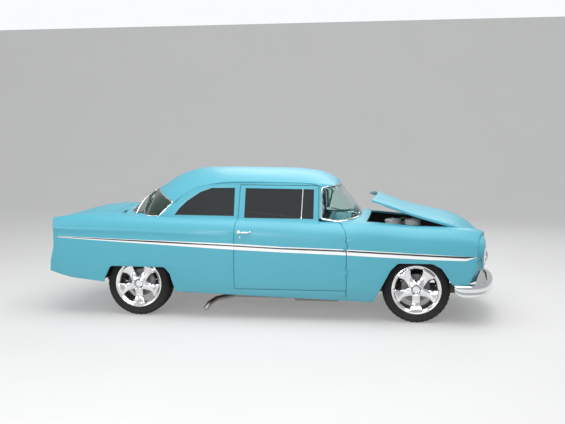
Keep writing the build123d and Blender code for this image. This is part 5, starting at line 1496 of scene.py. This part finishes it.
# Door cards with a sewn roll, arm rest, pull, window crank and sill cap
doorCard = {"x": (-0.290, 0.700), "z": (0.372, 1.010), "lift": 0.010, "accent": (0.30, 0.72), "flutes": 15,
            "crank": (0.34, 0.735), "knob": (0.398, 0.690), "opener": (0.50, 0.830), "stripZ": 0.84731}
for sideName, side in sides:
    tree = treeOf(f"door_{sideName}")
    body = f"door_set_{sideName}"
    held = [side * 0.86]
    (back, front), (low, high), (accentLow, accentHigh) = doorCard["x"], doorCard["z"], doorCard["accent"]

    def cardY(x, z):
        hit = tree.ray_cast(Vector((x, side * 0.40, z)), Vector((0, side, 0)))[0]
        if hit is not None and abs(hit.y) < 0.93:
            held[0] = hit.y
        return held[0]

    def cardShape(u, v):
        x, z = back + (front - back) * u, low + (high - low) * v
        edge = min(1.0, min(u, 1 - u) / 0.03, min(v, 1 - v) / 0.045)
        puff = 0.0
        if accentLow < v < accentHigh:
            phase = abs(((u * doorCard["flutes"]) % 1) - 0.5) * 2
            puff = 0.006 * (1 - phase ** 3) * min(1, (v - accentLow) / 0.03, (accentHigh - v) / 0.03)
        seam = sum(0.004 * max(0, 1 - abs(v - line) / 0.012) for line in doorCard["accent"])
        return (x, cardY(x, z) - side * (0.001 + doorCard["lift"] * edge ** 0.5 + puff - seam), z)

    card = smoothAll(mendNormals(gridPiece(f"doorCard_{sideName}", 150, 60, cardShape)))
    finishPiece(card, seatVinyl, body)
    card.data.materials.append(seatAccent)
    for polygon in card.data.polygons:
        polygon.material_index = 1 if accentLow < (polygon.center.z - low) / (high - low) < accentHigh else 0
    y = cardY(0.10, 0.66) - side * 0.016
    near, far = sorted((y, y - side * 0.048))
    finishPiece(blockPiece("armRest", (-0.10, near, 0.640), (0.24, far, 0.690), 0.018, 5), seatVinyl, body)
    (crankX, crankZ), (knobX, knobZ), (openX, openZ) = doorCard["crank"], doorCard["knob"], doorCard["opener"]
    fittings = [
        placeAlong(turnedPiece("crankBoss",
                               [(0, 0), (0.026, 0), (0.026, 0.006), (0.014, 0.012), (0.012, 0.026),
                                             (0, 0.027)], 32), (crankX, y, crankZ), (0, -side, 0)),
        tubePiece("crankArm", [(crankX, y - side * 0.024, crankZ), (0.365, y - side * 0.030, 0.715),
                               (knobX, y - side * 0.034, knobZ)], 0.0062, 10),
        placeAlong(turnedPiece("crankKnob",
                               [(0, 0), (0.008, 0), (0.010, 0.006), (0.014, 0.014), (0.013, 0.024),
                                             (0, 0.028)], 24), (knobX, y - side * 0.032, knobZ),
                                             (0, -side, 0)),
        placeAlong(turnedPiece("openerBoss",
                               [(0, 0), (0.022, 0), (0.022, 0.005), (0.011, 0.010), (0.010, 0.022),
                                              (0, 0.023)], 32), (openX, y + side * 0.004, openZ),
                                              (0, -side, 0)),
        tubePiece("openerArm", [(openX, y - side * 0.018, openZ), (0.46, y - side * 0.022, 0.832),
                                (0.415, y - side * 0.022, 0.828)], 0.0058, 10),
    ]
    strip = [(x, cardY(x, doorCard["stripZ"]) - side * 0.012, doorCard["stripZ"])
             for x in [back + 0.02 + 0.95 * k / 24 for k in range(25)]]
    fittings.append(tubePiece("cardStrip", strip, 0.005, 8, smooth=False))
    finishGroup(f"doorFittings_{sideName}", fittings, chrome, body, soft=0)
print("door cards made")


# Headlining with its bows, visors and the inside mirror
def liningShape(u, v):
    x, y = -0.99 + 1.43 * u, -0.60 + 1.20 * v
    hit = roofTree.ray_cast(Vector((x, y, 1.12)), Vector((0, 0, 1)))[0]
    bow = 0.006 * max(0.0, 1 - abs(((u * 4.5) % 1) - 0.5) / 0.05)
    edge = min(1.0, min(u, 1 - u) / 0.03, min(v, 1 - v) / 0.03)
    return (x, y, (hit.z if hit is not None else 1.36) - 0.002 - (0.012 + bow) * edge)


finishPiece(smoothAll(gridPiece("headliningSheet", 80, 60, liningShape)), headlining)
for sideName, side in sides:
    visor = blockPiece(f"sunVisor_{sideName}", (-0.075, -0.19, -0.009), (0.075, 0.19, 0.009), 0.008, 4)
    visor.data.transform(Matrix.Translation((0.405, side * 0.32, 1.345)) @ Matrix.Rotation(radians(18), 4,
                                                                                           "Y"))
    finishPiece(visor, headlining)
    finishPiece(tubePiece(f"visorRod_{sideName}", [
        (0.455, side * 0.50, 1.375), (0.458, side * 0.52, 1.352), (0.456, side * 0.48, 1.337),
        (0.456, side * 0.14, 1.337)], 0.004, 8), chrome)
mirrorCase = blockPiece("mirrorCase", (0.455, -0.105, 1.262), (0.475, 0.105, 1.312), 0.009, 4)
mirrorStem = tubePiece("mirrorStem", [(0.475, 0, 1.295), (0.500, 0, 1.325), (0.508, 0, 1.358)], 0.0055, 10)
finishGroup("insideMirror", [mirrorCase, mirrorStem], chrome)
faceGlass = blockPiece("insideMirrorGlass", (0.4535, -0.098, 1.268), (0.4548, 0.098, 1.306), 0.0005, 2)
finishPiece(faceGlass, mirrorGlass)
print("lining made")


# Dashboard: painted panel with a padded top roll, hooded cluster, radio, glove box and chrome strip
dashboard = {
    "way": Vector((-0.933, 0, -0.359)), "needle": 100, "knobY": (-0.13, -0.10, 0.09, 0.12, 0.17),
    "knobZ": 0.850,
    "dials": [(0.38, 0.905, 0.052), (0.275, 0.905, 0.030), (0.485, 0.905, 0.030), (-0.02, 0.895, 0.034)],
    "glove": [(-0.56, 0.925), (-0.24, 0.925), (-0.235, 0.92), (-0.235, 0.845), (-0.24, 0.84), (-0.56, 0.84),
              (-0.565, 0.845), (-0.565, 0.92)],
}
dashWay = dashboard["way"]
dressedCopy("dashboard", "dashboardShell", innerPaint, 0.014, smooth=50)
finishPiece(tubePiece("dashRoll", [(0.590, -0.685, 1.004), (0.590, -0.35, 1.006), (0.590, 0, 1.006),
                                   (0.590, 0.35, 1.006), (0.590, 0.685, 1.004)], 0.021, 16), seatAccent)


def onDash(y, z):  # a place on the dashboard's rear face, which leans
    return Vector((0.572 + (0.985 - z) * 18 / 55 if z > 0.930 else 0.590 + (0.930 - z) * 50 / 130, y, z))


def clusterShape(u, v):
    return (0.590 - 0.050 * v + 0.006 * sin(pi * v), 0.38 + 0.165 * cos(pi * u),
            0.932 + 0.070 * sin(pi * u) ** 0.8)


def needlePiece(length):  # tapers to its tip
    corners = [(-0.0014, -0.006), (0.0014, -0.006), (0.0003, length), (-0.0003, length)]
    mesh = bpy.data.meshes.new("needle")
    mesh.from_pydata([(x, y, 0.0045) for x, y in corners], [], [range(4)])
    obj = bpy.data.objects.new("needle", mesh)
    scene.collection.objects.link(obj)
    return mendNormals(thicken(obj, 0.0008, 0))


finishPiece(smoothBy(thicken(gridPiece("clusterHood", 28, 6, clusterShape), 0.004, 0), 50), blackPlastic)
dashTrim, dialPlates, dialMarks = [], [], []
for y, z, radius in dashboard["dials"]:
    place = onDash(y, z)
    ring = turnedPiece("dialRing", [(radius, 0), (radius + 0.004, 0.002), (radius + 0.005, 0.008),
                                    (radius + 0.001, 0.012), (radius - 0.003, 0.010), (radius - 0.004, 0.002),
                                    (radius, 0)], 48)
    dashTrim.append(placeAlong(ring, place, dashWay))
    plate = turnedPiece("dialPlate",
                        [(0, 0.0025), (radius - 0.002, 0.0025), (radius - 0.002, 0.0012), (0, 0.0012)], 48)
    dialPlates.append(placeAlong(plate, place, dashWay))
    for tick in range(21):
        length = 0.008 if tick % 5 == 0 else 0.0045
        mark = blockPiece("tick", (-0.0006, radius * 0.88 - length, 0.0024), (0.0006, radius * 0.88, 0.0032),
                          0)
        mark.data.transform(Matrix.Rotation(radians(-130 + 13 * tick), 4, "Z"))
        dialMarks.append(placeAlong(mark, place, dashWay))
    needle = needlePiece(radius * 0.8)
    needle.data.transform(Matrix.Rotation(radians(dashboard["needle"]), 4, "Z"))
    dialMarks.append(placeAlong(needle, place, dashWay))
finishGroup("dialPlates", dialPlates, dialFace)
finishGroup("dialMarks", dialMarks, ivoryPlastic)
for y in dashboard["knobY"]:
    knob = turnedPiece("dashKnob", [(0, 0), (0.009, 0), (0.008, 0.010), (0.012, 0.014), (0.012, 0.022),
                                    (0.009, 0.025), (0, 0.026)], 24)
    dashTrim.append(placeAlong(knob, onDash(y, dashboard["knobZ"]), dashWay))
for z in (0.950, 0.962):
    x = onDash(0, z).x - 0.001
    dashTrim.append(tubePiece("dashStrip", [(x, -0.68, z), (x, 0.68, z)], 0.0035, 8, smooth=False))
dashTrim.append(tubePiece("gloveLine", [onDash(y, z) + dashWay * 0.0012 for y, z in dashboard["glove"]],
                          0.0016, 6,
                          cyclic=True, smooth=False))
gloveLock = turnedPiece("gloveLock", [(0, 0), (0.014, 0), (0.014, 0.004), (0.009, 0.010), (0, 0.011)], 28)
dashTrim.append(placeAlong(gloveLock, onDash(-0.40, 0.905), dashWay))
finishGroup("dashTrim", dashTrim, chrome, soft=0)
grid = [tubePiece("speakerBar", [onDash(y, 0.820 + number * 0.009) + dashWay * 0.002 for y in (-0.09, 0.07)],
                  0.0022, 6, smooth=False) for number in range(9)]
finishGroup("speakerGrille", grid, blackPlastic)
print("dashboard made")


# Steering wheel: ivory rim with finger grips, horn ring, spokes, column and stalks
steer = {"centre": Vector((0.392, 0.380, 0.905)), "tilt": 28, "ring": 0.205, "tube": 0.0118, "grips": 40,
         "hornRadius": 0.118, "spokesAt": (90, 210, 330)}
steerWay = Vector((-cos(radians(steer["tilt"])), 0, sin(radians(steer["tilt"]))))


def rimShape(u, v):
    a, b = 2 * pi * u, 2 * pi * v
    thick = steer["tube"] * (1 + 0.08 * max(0, -cos(b)) * cos(steer["grips"] * a))
    radius = steer["ring"] + thick * cos(b)
    return (radius * cos(a), radius * sin(a), thick * sin(b))


rim = smoothAll(mendNormals(gridPiece("steeringRim", 160, 12, rimShape)))
finishPiece(placeAlong(rim, steer["centre"], steerWay), ivoryPlastic, stands=["steering_wheel"])
metal = []
for angle in steer["spokesAt"]:
    way = Vector((cos(radians(angle)), sin(radians(angle)), 0))
    across = Vector((-way.y, way.x, 0))
    for offset in (-0.006, 0.006):
        metal.append(tubePiece("spoke", [way * 0.026 + across * offset * 1.4 + Vector((0, 0, -0.004)),
                                         way * 0.10 + across * offset + Vector((0, 0, -0.006)),
                                         way * 0.198 + across * offset * 0.8], 0.0034, 8))
hornRing = [(steer["hornRadius"] * cos(2 * pi * k / 48), steer["hornRadius"] * sin(2 * pi * k / 48), 0.006)
            for k in range(48)]
metal.append(tubePiece("hornRing", hornRing, 0.0036, 8, cyclic=True, smooth=False))
metal.append(turnedPiece("hornCap",
                         [(0, -0.020), (0.034, -0.020), (0.037, -0.008), (0.036, 0.006), (0.030, 0.015),
                                     (0.024, 0.017), (0.021, 0.0145), (0.012, 0.0185), (0, 0.0195)], 48))
spokes = placeAlong(joinPieces("steeringSpokes", metal), steer["centre"], steerWay)
finishPiece(softenEdges(spokes, 0), chrome)
column = turnedPiece("steeringColumn", [(0, -0.022), (0.030, -0.022), (0.032, -0.030), (0.032, -0.060),
                                        (0.024, -0.066), (0.022, -0.075), (0.0215, -0.222), (0, -0.222)], 40)
finishPiece(softenEdges(placeAlong(column, steer["centre"], steerWay), 0.001), innerPaint)
stalks = [tubePiece("shiftLever", [(0, -0.024, -0.058), (0, -0.10, -0.045), (0, -0.185, -0.035)], 0.0046, 10),
          tubePiece("signalLever", [(0, 0.024, -0.050), (0, 0.09, -0.042), (0, 0.150, -0.036)], 0.0036, 10)]
finishPiece(placeAlong(joinPieces("columnStalks", stalks), steer["centre"], steerWay), chrome)
knobs = []
for place, size in (((0, -0.190, -0.0345), 0.0105), ((0, 0.153, -0.0358), 0.007)):
    ball = [(size * sin(pi * k / 10) + 0.0003, -size * cos(pi * k / 10)) for k in range(11)]
    knobs.append(shift(turnedPiece("stalkKnob", ball, 20), *place))
knobs = placeAlong(joinPieces("stalkKnobs", knobs), steer["centre"], steerWay)
finishPiece(softenEdges(knobs, 0), ivoryPlastic)
pedals = []
for y, wide in ((0.24, 0.028), (0.36, 0.040), (0.46, 0.040)):
    pad = blockPiece("pedalPad", (-0.006, y - wide, -0.035), (0.006, y + wide, 0.040), 0.005)
    pad.data.transform(Matrix.Translation((0.706, 0, 0.43)) @ Matrix.Rotation(radians(-25), 4, "Y"))
    pedals += [pad, tubePiece("pedalArm",
                              [(0.713, y, 0.440), (0.745, y, 0.50), (0.760, y, 0.62), (0.772, y, 0.76),
                                           (0.800, y, 0.79)], 0.006, 8)]
finishGroup("pedals", pedals, blackPlastic)
print("steering wheel made")


# Rear shelf cover, wipers, and the plate, its lamps and the lock on the tail
def shelfShape(u, v):
    return (-1.60 + 0.57 * u, -0.50 + 1.0 * v,
            1.0475 + 0.003 * min(1, min(u, 1 - u) / 0.04, min(v, 1 - v) / 0.03))


finishPiece(smoothBy(thicken(gridPiece("rearShelfCover", 30, 40, shelfShape), 0.001), 50), carpet)
screenTree = treeOf("windscreen")


def screenHit(y, z):
    hit = screenTree.ray_cast(Vector((2.2, y, z)), Vector((-1, 0, 0)))[0]
    return hit if hit is not None else Vector((0.75, y, z))


wiperMetal, wiperRubber = [], []
for side in (-1, 1):
    pivot = screenHit(side * 0.30, 1.045) + Vector((0.045, 0, -0.020))
    line = [screenHit(side * (0.16 + 0.30 * step / 10), 1.078 + 0.020 * step / 10) + Vector((0.006, 0, 0.002))
            for step in range(11)]
    wiperRubber.append(tubePiece("blade", line, 0.0028, 6, smooth=False))
    wiperMetal.append(tubePiece("bladeBack", [p + Vector((0.005, 0, 0.003)) for p in line], 0.0026, 6,
                                smooth=False))
    wiperMetal.append(tubePiece("arm", [pivot, pivot + Vector((-0.006, 0, 0.020)),
                                        line[5] + Vector((0.014, 0, 0.004)),
                                        line[5] + Vector((0.006, 0, 0.004))], 0.0032, 8))
    boss = turnedPiece("wiperBoss", [(0, 0), (0.015, 0), (0.014, 0.008), (0.009, 0.015), (0, 0.016)], 24)
    wiperMetal.append(placeAlong(boss, pivot + Vector((0, 0, -0.008)), (0.5, 0, 0.86)))
finishGroup("wiperArms", wiperMetal, chrome, soft=0)
finishGroup("wiperBlades", wiperRubber, rubber)


def tailHit(node, z, fallback):  # how far back a node reaches on the middle line
    hit = treeOf(node).ray_cast(Vector((-3, 0, z)), Vector((1, 0, 0)))[0]
    return hit.x if hit is not None else fallback


x = tailHit("tail_panel", 0.640, -2.345)
finishPiece(blockPiece("plateBlank", (x - 0.010, -0.152, 0.565), (x - 0.0075, 0.152, 0.715), 0.001, 2),
            stripeWhite)
corners = ((-0.155, 0.562), (0.155, 0.562), (0.155, 0.718), (-0.155, 0.718))
holder = [tubePiece("plateFrame", [(x - 0.010, y, z) for y, z in corners], 0.0055, 8, cyclic=True,
                    smooth=False)]
for y in (-0.06, 0.06):
    holder.append(blockPiece("plateLamp", (x - 0.034, y - 0.022, 0.728), (x + 0.004, y + 0.022, 0.748),
                             0.007))
    bolt = turnedPiece("plateBolt", [(0, 0), (0.0065, 0), (0.0065, 0.003), (0, 0.0045)], 16)
    holder.append(placeAlong(bolt, (x - 0.0095, y * 1.6, 0.700), (-1, 0, 0)))
for y in (-0.12, 0.12):
    holder.append(blockPiece("plateFoot", (x - 0.009, y - 0.012, 0.60), (x + 0.004, y + 0.012, 0.68), 0.002))
finishGroup("plateHolder", holder, chrome, soft=0)
bootLock = turnedPiece("bootLock",
                       [(0, -0.002), (0.026, -0.002), (0.026, 0.004), (0.020, 0.010), (0.012, 0.012),
                                    (0.011, 0.008), (0, 0.008)], 36)
placeAlong(bootLock, (tailHit("boot_lid", 0.845, -2.35), 0, 0.845), (-1, 0, 0))
finishPiece(softenEdges(bootLock, 0), chrome, "boot_lid_set")
print("tail fittings made")
